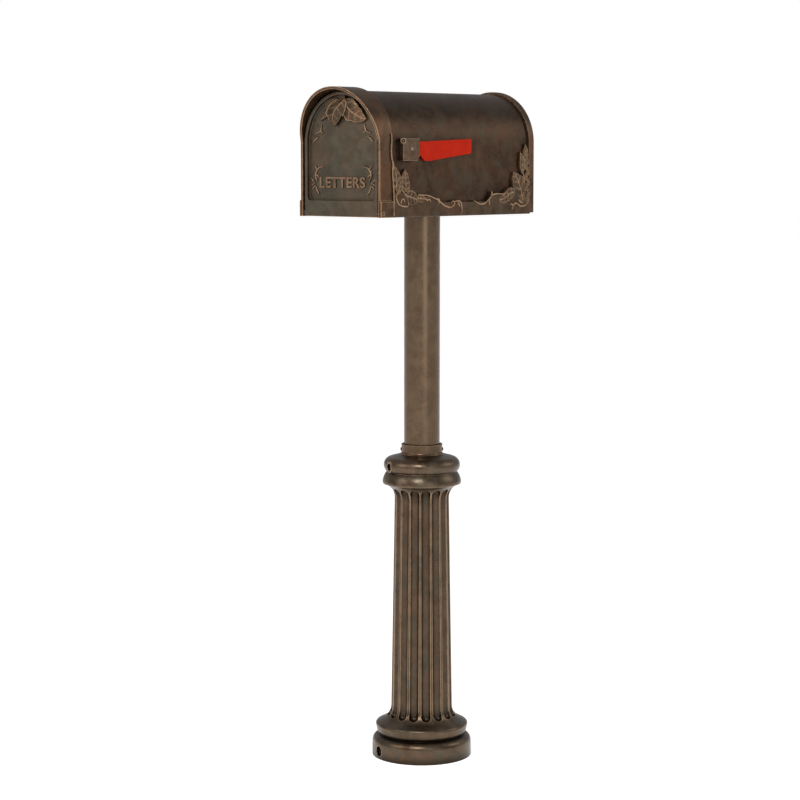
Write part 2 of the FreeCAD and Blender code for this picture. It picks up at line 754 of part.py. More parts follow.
holder_half = g.magnet_half + 4.0
holder_low = g.magnet_low - 2.0
holder_side = g.arch_centre + root(barrel_inner * barrel_inner - holder_half * holder_half)
body = new_body("magnet_holder")
pad(body, "XZ", [[Corner(-holder_half, holder_low), Corner(holder_half, holder_low),
                  Turn(holder_half, holder_side, barrel_inner, 1),
                  Corner(-holder_half, holder_side)]],
    barrel_front + 0.2, hood_back - 1.0)
pocket(body, "XZ", [rectangle(-g.magnet_half, g.magnet_half, g.magnet_low, g.magnet_low + g.magnet_tall)],
       barrel_front - 1.0, magnet_front + g.magnet_deep)
magnet_screw_y = hood_back - 8.0
pocket(body, "XY", [Round(8.0 * side, magnet_screw_y, side_screw_rad) for side, word in sides],
       holder_low - 1.0, holder_low + 12.0)
raise_to_box(keep(body, "magnet_holder"))
one = screw("magnet_screws", g.screw_head_rad, g.screw_head_tall, side_screw_rad, 11.5)
group("magnet_screws", one, [(8.0 * side, magnet_screw_y, holder_low, (0, 0, -1)) for side, word in sides],
      lift=True)

body = new_body("door_leaf_pull")
leaf_front = recess_floor - g.pull_stand - g.pull_thick
leaf_back = recess_floor - g.pull_stand
pad(body, "XZ", [rectangle(-19.0, 19.0, pull_screw_up - 5.0, pull_screw_up + 5.0)],
    leaf_back - 1.0, recess_floor)


def in_recess(across, up):
    """A point of the door's arched recess, in shares of its radius from the arch centre."""
    return (recess * across, g.arch_centre + recess * up)


pull_leaves = ((in_recess(0.147, 0.92), in_recess(-0.158, 0.352), recess * 0.18),
               (in_recess(0.147, 0.92), in_recess(0.695, 0.509), recess * 0.136),
               (in_recess(0.105, 0.899), in_recess(-0.632, 0.457), recess * 0.169))
for base, tip, half in pull_leaves:
    pad(body, "XZ", [leaf(base, tip, half)], leaf_front, leaf_back)
pocket(body, "XZ", [Round(pull_screw_x * side, pull_screw_up, side_screw_rad) for side, word in sides],
       leaf_back - 1.0, recess_floor + 1.0)
raise_to_box(keep(body, "door_leaf_pull"))
one = screw("pull_screws", g.screw_head_rad, 1.6, side_screw_rad, g.door_thick - g.recess_deep + g.pull_stand - 1.0)
group("pull_screws", one, [(pull_screw_x * side, door_back, pull_screw_up, (0, 1, 0))
                           for side, word in sides], lift=True)

# ---- flag, its bracket and its pivot ---------------------------------------------------------------

flag_z = g.flag_axis_up
bracket_face = g.barrel_half + g.bracket_deep
fore = flag_y - g.bracket_fore
aft = fore + g.bracket_long
low = flag_z - g.bracket_low
high = low + g.bracket_tall
body = new_body("flag_bracket_block")
pad(body, "YZ", [corners([(fore, low), (aft - 6.5, low), (aft, low + 10.0), (aft, high), (fore, high)])],
    g.barrel_half, bracket_face)
edge_round(body, g.bracket_round, lambda edge: close(middle(edge).x, bracket_face))
inner_fore = flag_y - g.flag_arm - g.clear_gap
inner_low = flag_z - g.flag_arm - g.clear_gap
pocket(body, "YZ", [rectangle(inner_fore, aft + 1.0, inner_low, high + 1.0)],
       g.barrel_half - 1.0, bracket_face - g.bracket_cover)
pocket(body, "YZ", [Round(flag_y, flag_z, g.pivot_rad)], g.barrel_half - 1.0, bracket_face + 1.0)
pocket(body, "YZ", [Round(y, z, side_screw_rad) for y, z in bracket_screw_spots],
       g.barrel_half - 1.0, g.barrel_half + 8.0)
diagonal = FreeCAD.Rotation(FreeCAD.Vector(0, 0, 1), FreeCAD.Vector(1, -1, 0))


def corner_cylinder(name, radius, start, length):
    """Cylinder on the bracket's upper front corner, along the diagonal between its two faces."""
    item = doc.addObject("Part::Cylinder", name)
    bind(item, "Radius", radius)
    bind(item, "Height", length)
    shift = start / math.sqrt(2)
    x, y, z = bracket_face + shift, fore - shift, high - 5.2
    item.Placement = FreeCAD.Placement(FreeCAD.Vector(x.value, y.value, z.value), diagonal)
    for axis, value in (("x", x), ("y", y), ("z", z)):
        bind(item, "Placement.Base." + axis, value)
    return item


boss = corner_cylinder("corner_boss", 5.6, as_size(-6.0), 6.6)
dimple = corner_cylinder("corner_dimple", 4.2, as_size(-4.0), 10.0)
joined = doc.addObject("Part::Fuse", "bracket_with_boss")
joined.Base = body
joined.Tool = boss
bracket = doc.addObject("Part::Cut", "flag_bracket")
bracket.Base = joined
bracket.Tool = dimple
raise_to_box(keep(bracket, "flag_bracket"))
pin = corner_cylinder("flag_corner_pin", 2.1, as_size(-4.0), 3.6)
pin.setExpression("Placement.Base.z", (g.box_bottom + high - 5.2).text)
keep(pin, "flag_corner_pin")

body = new_body("flag_blade")
tip = flag_y + g.flag_long
round_tip = 4.0
slope_top = flag_z + g.flag_tip_up
slope_low = flag_z - g.flag_tip_down
arm_low = flag_z - g.flag_arm
arm_high = flag_z + g.flag_arm - 1.1
blade = [Turn(flag_y, arm_high, g.flag_arm - 0.5, 1),
         Turn(flag_y - g.flag_arm + 0.6, flag_z - 0.6, g.flag_arm - 0.5, 1),
         Corner(flag_y, arm_low), Corner(flag_y + 31.0, arm_low), Corner(flag_y + 45.0, flag_z - g.flag_heel_down),
         Corner(flag_y + 60.0, flag_z - g.flag_heel_down), Turn(tip - round_tip, slope_low - 0.5, round_tip + 0.2, 1),
         Corner(tip, slope_low + round_tip), Turn(tip, slope_top - round_tip, round_tip, 1),
         Corner(tip - round_tip, slope_top)]
pad(body, "YZ", [blade], flag_low, flag_high)
pocket(body, "YZ", [Round(flag_y, flag_z, g.pivot_rad + g.bushing_wall)], flag_low - 1.0, flag_high + 1.0)
raise_to_box(keep(body, "flag_blade"))

body = new_body("flag_bushing")
pad(body, "YZ", [Round(flag_y, flag_z, g.pivot_rad + g.bushing_wall),
                 Round(flag_y, flag_z, g.pivot_rad + g.running_gap)], flag_low, flag_high)
raise_to_box(keep(body, "flag_bushing"))

washer_thick = g.flag_off - g.clear_gap
body = new_body("flag_spring_washer")
pad(body, "YZ", [Round(flag_y, flag_z, g.pivot_rad + 5.0), Round(flag_y, flag_z, g.pivot_rad)],
    g.barrel_half, g.barrel_half + washer_thick)
raise_to_box(keep(body, "flag_spring_washer"))

nut_thick = 4.0
one = screw("flag_pivot_pin", g.pivot_rad + 0.8, 1.5, g.pivot_rad,
            g.bracket_deep + g.barrel_sheet + nut_thick + 1.0)
group("flag_pivot_pin", one, [(bracket_face, flag_y, flag_z, (1, 0, 0))], lift=True)
body = new_body("flag_pivot_nut")
reach = 10.0 / math.sqrt(3)
pad(body, "YZ", [corners([(flag_y + reach * math.cos(math.radians(60 * k)),
                           flag_z + reach * math.sin(math.radians(60 * k))) for k in range(6)]),
                 Round(flag_y, flag_z, g.pivot_rad)],
    barrel_inner - nut_thick, barrel_inner)
raise_to_box(keep(body, "flag_pivot_nut"))
one = screw("flag_bracket_screws", g.screw_head_rad, g.screw_head_tall, side_screw_rad, g.barrel_sheet + 7.0)
group("flag_bracket_screws", one, [(barrel_inner, y, z, (-1, 0, 0)) for y, z in bracket_screw_spots],
      lift=True)

# ---- post: tube, mounting head, collar -------------------------------------------------------------

tube_top = g.box_bottom + g.floor_under - g.head_plate
body = new_body("post_tube")
pad(body, "XY", [Round(0, 0, g.tube_rad), Round(0, 0, tube_inner)], g.tube_foot, tube_top)
head_screw_up = tube_top - 22.0
screw_rad = g.set_screw_rad
for side, word in sides:
    low_x, high_x = (g.tube_rad - 6.0, g.tube_rad + 2.0)
    if side < 0:
        low_x, high_x = -high_x, -low_x
    pocket(body, "YZ", [Round(0, head_screw_up, screw_rad)], low_x, high_x)
body.Placement = FreeCAD.Placement()
keep(body, "post_tube")

body = new_body("mounting_head")
half = g.head_half
pad(body, "XY", [rectangle(-half, half, -half, half)], tube_top, tube_top + g.head_plate)
plug_rad = tube_inner - g.fit_gap
pad(body, "XY", [Round(0, 0, plug_rad), Round(0, 0, plug_rad - 7.0)], tube_top - g.plug_long, tube_top)
pocket(body, "XY", [Round(x, y, g.bolt_rad) for x, y in bolt_spots], tube_top - 1.0,
       tube_top + g.head_plate + 1.0)
pocket(body, "YZ", [Round(0, head_screw_up, screw_rad)], -plug_rad - 1.0, plug_rad + 1.0)
keep(body, "mounting_head")
one = new_body("head_set_screws_one")
pad(one, "XY", [Round(0, 0, screw_rad)], -(g.tube_wall + 6.0), 0)
group("head_set_screws", one, [(g.tube_rad * side, 0, head_screw_up, (side, 0, 0)) for side, word in sides])

one = screw("box_bolts", g.bolt_head_rad, g.bolt_head_tall, g.bolt_rad,
            g.head_plate + g.floor_sheet + g.bolt_washer - 0.2)
group("box_bolts", one, [(x, y, floor_top + g.bolt_washer, (0, 0, 1)) for x, y in bolt_spots], lift=True)
one = new_body("box_washers_one")
pad(one, "XY", [Round(0, 0, g.bolt_washer_rad), Round(0, 0, g.bolt_rad + g.fit_gap)], 0, g.bolt_washer)
group("box_washers", one, [(x, y, floor_top, (0, 0, 1)) for x, y in bolt_spots], lift=True)

body = new_body("collar_ring")
collar_top = g.collar_low + g.collar_tall
snug = g.tube_rad + g.fit_gap
revolve(body, [[Corner(snug, g.collar_low), Turn(g.collar_rad + 3.0, g.collar_low, 6.0, -1),
                Corner(g.collar_rad - 0.4, g.collar_low + 5.0), Corner(g.collar_rad - 0.4, collar_top - 4.0),
                Corner(g.collar_rad, collar_top - 3.4), Corner(g.collar_rad, collar_top - 0.8),
                Corner(g.collar_rad - 0.8, collar_top), Corner(snug + 2.2, collar_top),
                Corner(snug + 2.2, collar_top - 5.0), Corner(snug, collar_top - 6.5)]])
collar_screw_up = g.collar_low + 9.5
pocket(body, "YZ", [Round(0, collar_screw_up, screw_rad)], -g.collar_rad - 5.0, g.collar_rad + 5.0)
turn_about_post(keep(body, "collar_ring"), g.collar_turn)
one = screw("collar_screws", screw_rad + 0.9, 2.4, screw_rad, g.collar_rad - 0.4 - g.tube_rad, socket=3.0)
group("collar_screws", one, [((g.collar_rad - 0.4) * side, 0, collar_screw_up, (side, 0, 0))
                             for side, word in sides], turn=g.collar_turn)

# ---- cast base -------------------------------------------------------------------------------------

body = new_body("base_column")
wall = g.base_wall
profile = [
    Corner(g.ring_rad - wall, 0), Corner(g.ring_rad, 0), Turn(g.ring_rad, g.ring_top, 15.2, 1),
    Turn(g.neck_rad, g.neck_up, 25.0, 1), Turn(g.bead_rad, g.bead_up, 6.5, 1),
    Corner(g.edge_rad, g.edge_up),
    Turn(g.shoulder_rad, g.shoulder_up, 31.4, -1), Corner(g.shaft_low_rad, g.shaft_low),
    Turn(g.shaft_high_rad, g.shaft_high, 31.7, -1), Corner(g.cap_lip_rad, g.cap_lip_up),
    Corner(g.cap_lip_rad + 1.1, g.cap_lip_up + 2.5), Turn(g.cap_lip_rad + 1.1, g.cap_lip_up + 6.0, 40.0, 1),
    Turn(g.groove_rad, g.groove_up, g.torus_rad, 1), Corner(g.torus_top_rad, g.torus_top),
    Corner(g.tube_rad + 8.9, g.column_top), Corner(g.tube_rad + 0.9, g.column_top),
    Corner(g.tube_rad + 0.9, g.torus_top - 3.0), Corner(g.torus_top_rad - 4.0, g.torus_top - 7.0),
    Corner(g.groove_rad - 5.0, g.groove_up + 14.0), Corner(g.groove_rad - 5.0, g.cap_lip_up + 8.0),
    Corner(g.shaft_bore, g.shaft_high + 18.0), Corner(g.shaft_bore, g.shoulder_up + 4.0),
    Corner(g.shaft_low_rad - 3.0, g.shoulder_up - 4.0), Corner(g.neck_rad - 5.3, g.bead_up - 6.0),
    Corner(g.neck_rad - 5.3, g.neck_up - 2.0), Corner(g.ring_rad - wall, g.ring_top + 2.0),
]
revolve(body, [profile])

# flutes: one long round-ended groove along the tapering shaft, repeated around it
axis_low = g.shaft_low_rad + g.flute_out
axis_high = g.shaft_high_rad + g.flute_out
low_end = g.shaft_low - g.flute_drop
high_end = g.shaft_high + g.flute_rise
lean = math.atan2((axis_low - axis_high).value, (high_end - low_end).value)
along = (math.sin(lean), math.cos(lean))
rad = g.flute_rad
flute = [Turn(axis_low + rad * along[0], low_end - rad * along[1], rad, -1),
         Corner(axis_low - rad * along[1], low_end - rad * along[0]),
         Turn(axis_high - rad * along[1], high_end - rad * along[0], rad, -1),
         Corner(axis_high - rad * along[0], high_end + rad * along[1])]
sketch = new_sketch(body, "XZ", [flute], 0)
groove = body.newObject("PartDesign::Groove", "base_column_flute")
groove.Profile = sketch
line = sketch.addGeometry(Part.LineSegment(FreeCAD.Vector(axis_low.value, low_end.value, 0),
                                           FreeCAD.Vector(axis_high.value, high_end.value, 0)), True)
for place, x, y in ((1, axis_low, low_end), (2, axis_high, high_end)):
    fix_length(sketch, "DistanceX", line, place, x)
    fix_length(sketch, "DistanceY", line, place, y)
groove.ReferenceAxis = (sketch, ["Axis0"])
groove.Angle = 360.0
before = groove.BaseFeature.Shape.Volume
doc.recompute()
removals.append((groove.Name, before, groove.Shape.Volume))
pattern = body.newObject("PartDesign::PolarPattern", "base_column_flutes")
pattern.Originals = [groove]
pattern.Axis = (origin_item(body, "Z_Axis"), [""])
pattern.Angle = 360.0
pattern.Occurrences = int(g.flutes.value)
bind(pattern, "Occurrences", g.flutes)
groove.Visibility = False
body.Tip = pattern
before = groove.Shape.Volume
doc.recompute()
removals.append((pattern.Name, before, pattern.Shape.Volume))

counter_rad = g.counter_rad
head_deep = g.head_deep
tap_rad = g.tap_rad
for side, word in sides:
    reach = g.set_boss_reach
    tip_in = g.tube_rad + 4.0
    span = (-reach, -tip_in) if side < 0 else (tip_in, reach)
    pad(body, "YZ", [Round(0, g.set_screw_up, g.set_boss_rad)], *span)
    span = (-reach - 2.0, head_deep - reach) if side < 0 else (reach - head_deep, reach + 2.0)
    pocket(body, "YZ", [Round(0, g.set_screw_up, counter_rad)], *span)
    span = (-reach, -g.tube_rad) if side < 0 else (g.tube_rad, reach)
    pocket(body, "YZ", [Round(0, g.set_screw_up, tap_rad)], *span)

foot_seat = g.ring_rad - 9.0
foot_inner = g.flange_rad + 0.4
for side, word in sides:
    span = (-foot_seat - 4.0, -foot_inner) if side < 0 else (foot_inner, foot_seat + 4.0)
    pad(body, "YZ", [Round(0, g.foot_screw_up, 14.0)], *span)
    span = (-g.ring_rad - 1.0, -foot_seat) if side < 0 else (foot_seat, g.ring_rad + 1.0)
    pocket(body, "YZ", [Round(0, g.foot_screw_up, 11.0)], *span)
    span = (-g.ring_rad, 1.0 - foot_inner) if side < 0 else (foot_inner - 1.0, g.ring_rad)
    pocket(body, "YZ", [Round(0, g.foot_screw_up, tap_rad)], *span)
turn_about_post(keep(body, "base_column"), g.base_turn)

one = screw("base_set_screws", 6.4, 5.0, tap_rad, g.set_boss_reach - head_deep - g.tube_rad, socket=5.0)
group("base_set_screws", one, [((g.set_boss_reach - head_deep) * side, 0, g.set_screw_up, (side, 0, 0))
                               for side, word in sides], turn=g.base_turn)
one = screw("base_foot_screws", 8.5, 5.0, tap_rad, foot_seat - g.flange_rad + 13.0, socket=6.0)
group("base_foot_screws", one, [(foot_seat * side, 0, g.foot_screw_up, (side, 0, 0))
                                for side, word in sides], turn=g.base_turn)

body = new_body("foot_flange")
pad(body, "XY", [Round(0, 0, g.flange_rad), Round(0, 0, g.tube_rad - 6.0)], 0, g.flange_thick)
pad(body, "XY", [Round(0, 0, g.socket_rad), Round(0, 0, g.tube_rad)], 0, g.socket_top)
lug_in = g.flange_rad - 15.0
for side, word in sides:
    span = (-g.flange_rad + 1.0, -lug_in) if side < 0 else (lug_in, g.flange_rad - 1.0)
    pad(body, "XY", [rectangle(span[0], span[1], -10.0, 10.0)], 0, g.foot_screw_up + 9.0)
for quarter in range(4):
    angle = math.radians(90 * quarter)
    rib = [(g.socket_rad - 1.0, 3.0), (g.socket_rad - 1.0, -3.0), (lug_in + 1.0, -3.0), (lug_in + 1.0, 3.0)]
    turned = [(x * round(math.cos(angle)) - y * round(math.sin(angle)),
               x * round(math.sin(angle)) + y * round(math.cos(angle))) for x, y in rib]
    pad(body, "XY", [corners(turned)], g.flange_thick - 1.0, g.foot_screw_up + 8.0)
pocket(body, "XY", [Round(0, 0, g.tube_rad)], g.tube_foot, g.socket_top + 1.0)
diagonal_reach = g.anchor_circle / 2 / math.sqrt(2)
pocket(body, "XY", [Round(diagonal_reach * a, diagonal_reach * b, g.anchor_rad)
                    for a in (-1, 1) for b in (-1, 1)], -1.0, g.flange_thick + 1.0)
pocket(body, "YZ", [Round(0, g.foot_screw_up, tap_rad)], -g.flange_rad - 1.0, 2.0 - lug_in)
pocket(body, "YZ", [Round(0, g.foot_screw_up, tap_rad)], lug_in - 2.0, g.flange_rad + 1.0)
flange_screw_up = g.socket_top - 14.0
pocket(body, "XZ", [Round(0, flange_screw_up, tap_rad)], -g.socket_rad - 1.0, g.socket_rad + 1.0)
turn_about_post(keep(body, "foot_flange"), g.base_turn)
one = new_body("flange_set_screws_one")
pad(one, "XY", [Round(0, 0, tap_rad)], -(g.socket_rad + 1.5 - g.tube_rad), 0)
group("flange_set_screws", one, [(0, (g.socket_rad + 1.5) * side, flange_screw_up, (0, side, 0))
                                 for side, word in sides], turn=g.base_turn)

# ---- checks and export -----------------------------------------------------------------------------

doc.recompute()
faults = []
for item in doc.Objects:
    if "Invalid" in item.State or "Error" in item.State:
        faults.append("%s is %s" % (item.Name, ",".join(item.State)))
for name, before, after in removals:
    if after > before - 0.5:
        faults.append("%s removed nothing" % name)
for item in nodes:
    if item.Shape.isNull() or not item.Shape.isValid() or not item.Shape.Solids:
        faults.append("%s has no valid solid" % item.Label)
if faults:
    raise RuntimeError("; ".join(faults))

os.makedirs("parts", exist_ok=True)
for item in nodes:
    item.Shape.exportStep("parts/%s.step" % item.Label)
    box = item.Shape.BoundBox
    print("%-22s solids %d  volume %10.0f  x %.1f..%.1f  y %.1f..%.1f  z %.1f..%.1f" % (
        item.Label, len(item.Shape.Solids), item.Shape.Volume,
        box.XMin, box.XMax, box.YMin, box.YMax, box.ZMin, box.ZMax))
print("%d nodes" % len(nodes))
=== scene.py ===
import json
import math

import bmesh
import bpy
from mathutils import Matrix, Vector


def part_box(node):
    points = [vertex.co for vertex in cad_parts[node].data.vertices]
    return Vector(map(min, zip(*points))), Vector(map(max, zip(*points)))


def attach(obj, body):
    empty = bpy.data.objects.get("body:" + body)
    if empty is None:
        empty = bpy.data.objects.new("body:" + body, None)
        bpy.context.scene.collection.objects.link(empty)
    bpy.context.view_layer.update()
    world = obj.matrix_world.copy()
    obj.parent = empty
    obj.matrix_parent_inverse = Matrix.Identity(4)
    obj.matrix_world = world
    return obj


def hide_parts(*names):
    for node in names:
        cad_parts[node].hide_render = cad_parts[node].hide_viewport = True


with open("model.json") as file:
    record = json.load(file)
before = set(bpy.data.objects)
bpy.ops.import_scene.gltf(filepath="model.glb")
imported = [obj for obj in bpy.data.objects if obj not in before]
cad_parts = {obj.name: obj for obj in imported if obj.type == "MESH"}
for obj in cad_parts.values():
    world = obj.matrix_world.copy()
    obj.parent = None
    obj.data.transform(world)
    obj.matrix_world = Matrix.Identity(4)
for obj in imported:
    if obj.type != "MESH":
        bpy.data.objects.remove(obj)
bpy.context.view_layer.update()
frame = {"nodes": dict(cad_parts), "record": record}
cadNodes = frame["nodes"]
millimetre = 0.001
print("frame loaded:", len(cadNodes), "nodes")

# faces and levels of the box, in millimetres, read from the frame
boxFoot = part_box("rail_front_right")[0].z / millimetre
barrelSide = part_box("barrel_shell")[1].x / millimetre
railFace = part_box("rail_front_right")[1].x / millimetre
frontRail = [corner.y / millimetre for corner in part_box("rail_front_right")]
rearRail = [corner.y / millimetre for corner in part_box("rail_rear_right")]
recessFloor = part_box("door_leaf_pull")[1].y / millimetre
railTop = 29.0
footInWall = 0.2      # how far ornament reaches into the sheet behind it
footInDoor = 0.1


# finishes are built from these small node helpers
def addNode(tree, kind, **settings):
    node = tree.nodes.new("ShaderNode" + kind)
    for key, value in settings.items():
        setattr(node, key, value)
    return node


def noiseValue(tree, where, scale, detail=4.0, rough=0.55, twist=0.0):
    node = addNode(tree, "TexNoise")
    node.inputs["Scale"].default_value = scale
    node.inputs["Detail"].default_value = detail
    node.inputs["Roughness"].default_value = rough
    node.inputs["Distortion"].default_value = twist
    tree.links.new(where, node.inputs["Vector"])
    return node.outputs["Fac"]


def spread(tree, value, low, high, toLow=0.0, toHigh=1.0):
    node = addNode(tree, "MapRange", interpolation_type="SMOOTHSTEP")
    tree.links.new(value, node.inputs["Value"])
    node.inputs["From Min"].default_value = low
    node.inputs["From Max"].default_value = high
    node.inputs["To Min"].default_value = toLow
    node.inputs["To Max"].default_value = toHigh
    return node.outputs["Result"]


def maths(tree, operation, first, second):
    node = addNode(tree, "Math", operation=operation)
    for place, value in enumerate((first, second)):
        if isinstance(value, (int, float)):
            node.inputs[place].default_value = value
        else:
            tree.links.new(value, node.inputs[place])
    return node.outputs[0]


def blendColour(tree, share, first, second):
    node = addNode(tree, "Mix", data_type="RGBA")
    for key, value in (("Factor", share), ("A", first), ("B", second)):
        socket = [entry for entry in node.inputs if entry.name == key and entry.enabled][0]
        if isinstance(value, (int, float)):
            socket.default_value = value
        elif isinstance(value, tuple):
            socket.default_value = (value[0], value[1], value[2], 1.0)
        else:
            tree.links.new(value, socket)
    return [entry for entry in node.outputs if entry.name == "Result" and entry.enabled][0]


def newMaterial(name):
    material = bpy.data.materials.new(name)
    material.use_nodes = True
    tree = material.node_tree
    shader = tree.nodes["Principled BSDF"]
    where = addNode(tree, "TexCoord").outputs["Object"]
    return material, tree, shader, where


def raisedDetail(tree, shader, heights, edgeRound):
    # edges look rounded by edgeRound; each row of heights is (value, distance, strength)
    bevel = addNode(tree, "Bevel", samples=6)
    bevel.inputs["Radius"].default_value = edgeRound
    rounded = bevel.outputs["Normal"]
    for height, distance, strength in heights:
        bump = addNode(tree, "Bump")
        bump.inputs["Strength"].default_value = strength
        bump.inputs["Distance"].default_value = distance
        tree.links.new(height, bump.inputs["Height"])
        tree.links.new(rounded, bump.inputs["Normal"])
        rounded = bump.outputs["Normal"]
    tree.links.new(rounded, shader.inputs["Normal"])


# noise patterns of the bronze: share of the patch scale, scale added, detail, roughness, distortion
bronzeNoise = {
    "broad": (1.0, 0.0, 5.0, 0.6, 0.6),
    "cloudy": (5.0, 0.0, 5.0, 0.65, 0.3),
    "greyish": (2.3, 11.0, 6.0, 0.7, 0.9),
    "reddish": (6.0, 23.0, 6.0, 0.75, 1.2),
    "speck": (0.0, 420.0, 3.0, 0.6, 0.0),
    "grain": (0.0, 1500.0, 2.0, 0.5, 0.0),
}
# where each pattern starts and is full
bronzeBand = {
    "mid": (0.34, 0.68),
    "copper": (0.40, 0.62),
    "grey": (0.48, 0.66),
    "red": (0.55, 0.72),
    "speck": (0.45, 0.75),
    "edge": (0.995, 0.90),
    "open": (0.50, 0.80),
    # where cloudy patches carry more rubbed wear and painted highlight
    "rubAndHighlight": (0.28, 0.58),
    "rough": (0.3, 0.7),
}


def bronzePattern(tree, where, word, patch):
    share, more, detail, rough, twist = bronzeNoise[word]
    return noiseValue(tree, where, patch * share + more, detail, rough, twist)


def edgeValue(tree, reach):
    # one on sharp edges, nought on flat faces
    bevel = addNode(tree, "Bevel", samples=8)
    bevel.inputs["Radius"].default_value = reach
    geometry = addNode(tree, "NewGeometry")
    facing = addNode(tree, "VectorMath", operation="DOT_PRODUCT")
    tree.links.new(bevel.outputs["Normal"], facing.inputs[0])
    tree.links.new(geometry.outputs["Normal"], facing.inputs[1])
    return spread(tree, facing.outputs["Value"], *bronzeBand["edge"])


def opennessValue(tree, reach):
    shade = addNode(tree, "AmbientOcclusion", samples=8)
    shade.inputs["Distance"].default_value = reach
    return shade.outputs["AO"]


def agedBronze(name, look):
    material, tree, shader, where = newMaterial(name)
    pattern = {word: bronzePattern(tree, where, word, look["patch"]) for word in bronzeNoise}
    cloudy = pattern["cloudy"]
    colour = blendColour(tree, spread(tree, cloudy, *bronzeBand["mid"]), look["dark"], look["mid"])
    for word, tone in (("broad", "copper"), ("greyish", "grey"), ("reddish", "red")):
        patchy = spread(tree, pattern[word], *bronzeBand[tone], 0.0, look[tone + "Share"])
        colour = blendColour(tree, patchy, colour, look[tone])
    specks = spread(tree, pattern["speck"], *bronzeBand["speck"], 0.0, look["speckShare"])
    colour = blendColour(tree, specks, colour, look["mid"])

    # rubbed edges and relief tops are worn lighter and carry a painted highlight; hollows, corners and gaps
    # between parts are painted darker as shade
    openness = opennessValue(tree, look["paintedShadeReach"])
    # open sharp edges get a lighter colour: partly worn edges, partly a painted highlight
    rubAndHighlightMask = maths(tree, "MULTIPLY", edgeValue(tree, look["edgeReach"]),
                   spread(tree, openness, *bronzeBand["open"]))
    # relief tops marked in the mesh get the same worn colour and painted highlight
    rubAndHighlightAttribute = addNode(tree, "Attribute", attribute_name="rubAndHighlight")
    rubAndHighlightMask = maths(tree, "MAXIMUM", rubAndHighlightMask, rubAndHighlightAttribute.outputs["Fac"])
    patchyRubAndHighlight = spread(tree, cloudy, *bronzeBand["rubAndHighlight"], look["leastRubAndHighlight"], 1.0)
    rubAndHighlightMask = maths(tree, "MULTIPLY", rubAndHighlightMask, patchyRubAndHighlight)
    rubAndHighlightMask = maths(tree, "MULTIPLY", rubAndHighlightMask, look["wornAndHighlightShare"])
    # painted shade: the colour is pulled towards a near-black tone where the ambient occlusion is low,
    # standing in for shade in hollows, corners and gaps
    paintedShadeMask = spread(tree, openness, look["paintedShadeFull"], look["paintedShadeNone"], look["paintedShadeShare"], 0.0)
    colour = blendColour(tree, paintedShadeMask, colour, look["paintedShade"])
    # worn edges and painted highlight: the colour is pulled towards a light tan
    colour = blendColour(tree, rubAndHighlightMask, colour, look["wornAndHighlight"])
    tree.links.new(colour, shader.inputs["Base Color"])
    rough = spread(tree, cloudy, *bronzeBand["rough"],
                   look["rough"] - look["roughBelow"], look["rough"] + look["roughAbove"])
    tree.links.new(rough, shader.inputs["Roughness"])
    shader.inputs["Metallic"].default_value = look["metallic"]
    shader.inputs["Specular IOR Level"].default_value = look["specular"]
    heights = ((cloudy, look["dentDepth"], look["dents"]),
               (pattern["speck"], look["speckDepth"], look["grain"]),
               (pattern["grain"], look["grainDepth"], look["grain"]))
    raisedDetail(tree, shader, heights, look["edgeRound"])
    return material


# tones of the aged bronze that all pieces share, then what each one changes
bronzeLook = {
    "dark": (0.055, 0.031, 0.018),
    "mid": (0.120, 0.072, 0.043),
    "copper": (0.185, 0.080, 0.041),
    # light tan of worn edges, also used as a painted highlight
    "wornAndHighlight": (0.44, 0.285, 0.170),
    # near-black tone painted into hollows and corners as shade
    "paintedShade": (0.012, 0.008, 0.006),
    "grey": (0.072, 0.068, 0.050),
    "red": (0.190, 0.058, 0.030),
    "greyShare": 0.45,
    "redShare": 0.35,
    "patch": 7.0,
    "copperShare": 0.45,
    "wornAndHighlightShare": 0.75,
    # strength of the painted shade, and the ambient occlusion values where it is full and where it ends
    "paintedShadeShare": 0.60,
    "paintedShadeFull": 0.30,
    "paintedShadeNone": 0.85,
    "edgeReach": 0.0018,
    # how far the ambient occlusion reaches for the painted shade
    "paintedShadeReach": 0.010,
    "edgeRound": 0.0007,
    "rough": 0.42,
    "metallic": 0.92,
    "grain": 0.35,
    "dents": 0.30,
    "specular": 0.25,
    "speckShare": 0.35,
    "leastRubAndHighlight": 0.45,
    "roughBelow": 0.06,
    "roughAbove": 0.08,
    "dentDepth": 0.0005,
    "speckDepth": 0.00025,
    "grainDepth": 0.0001,
}
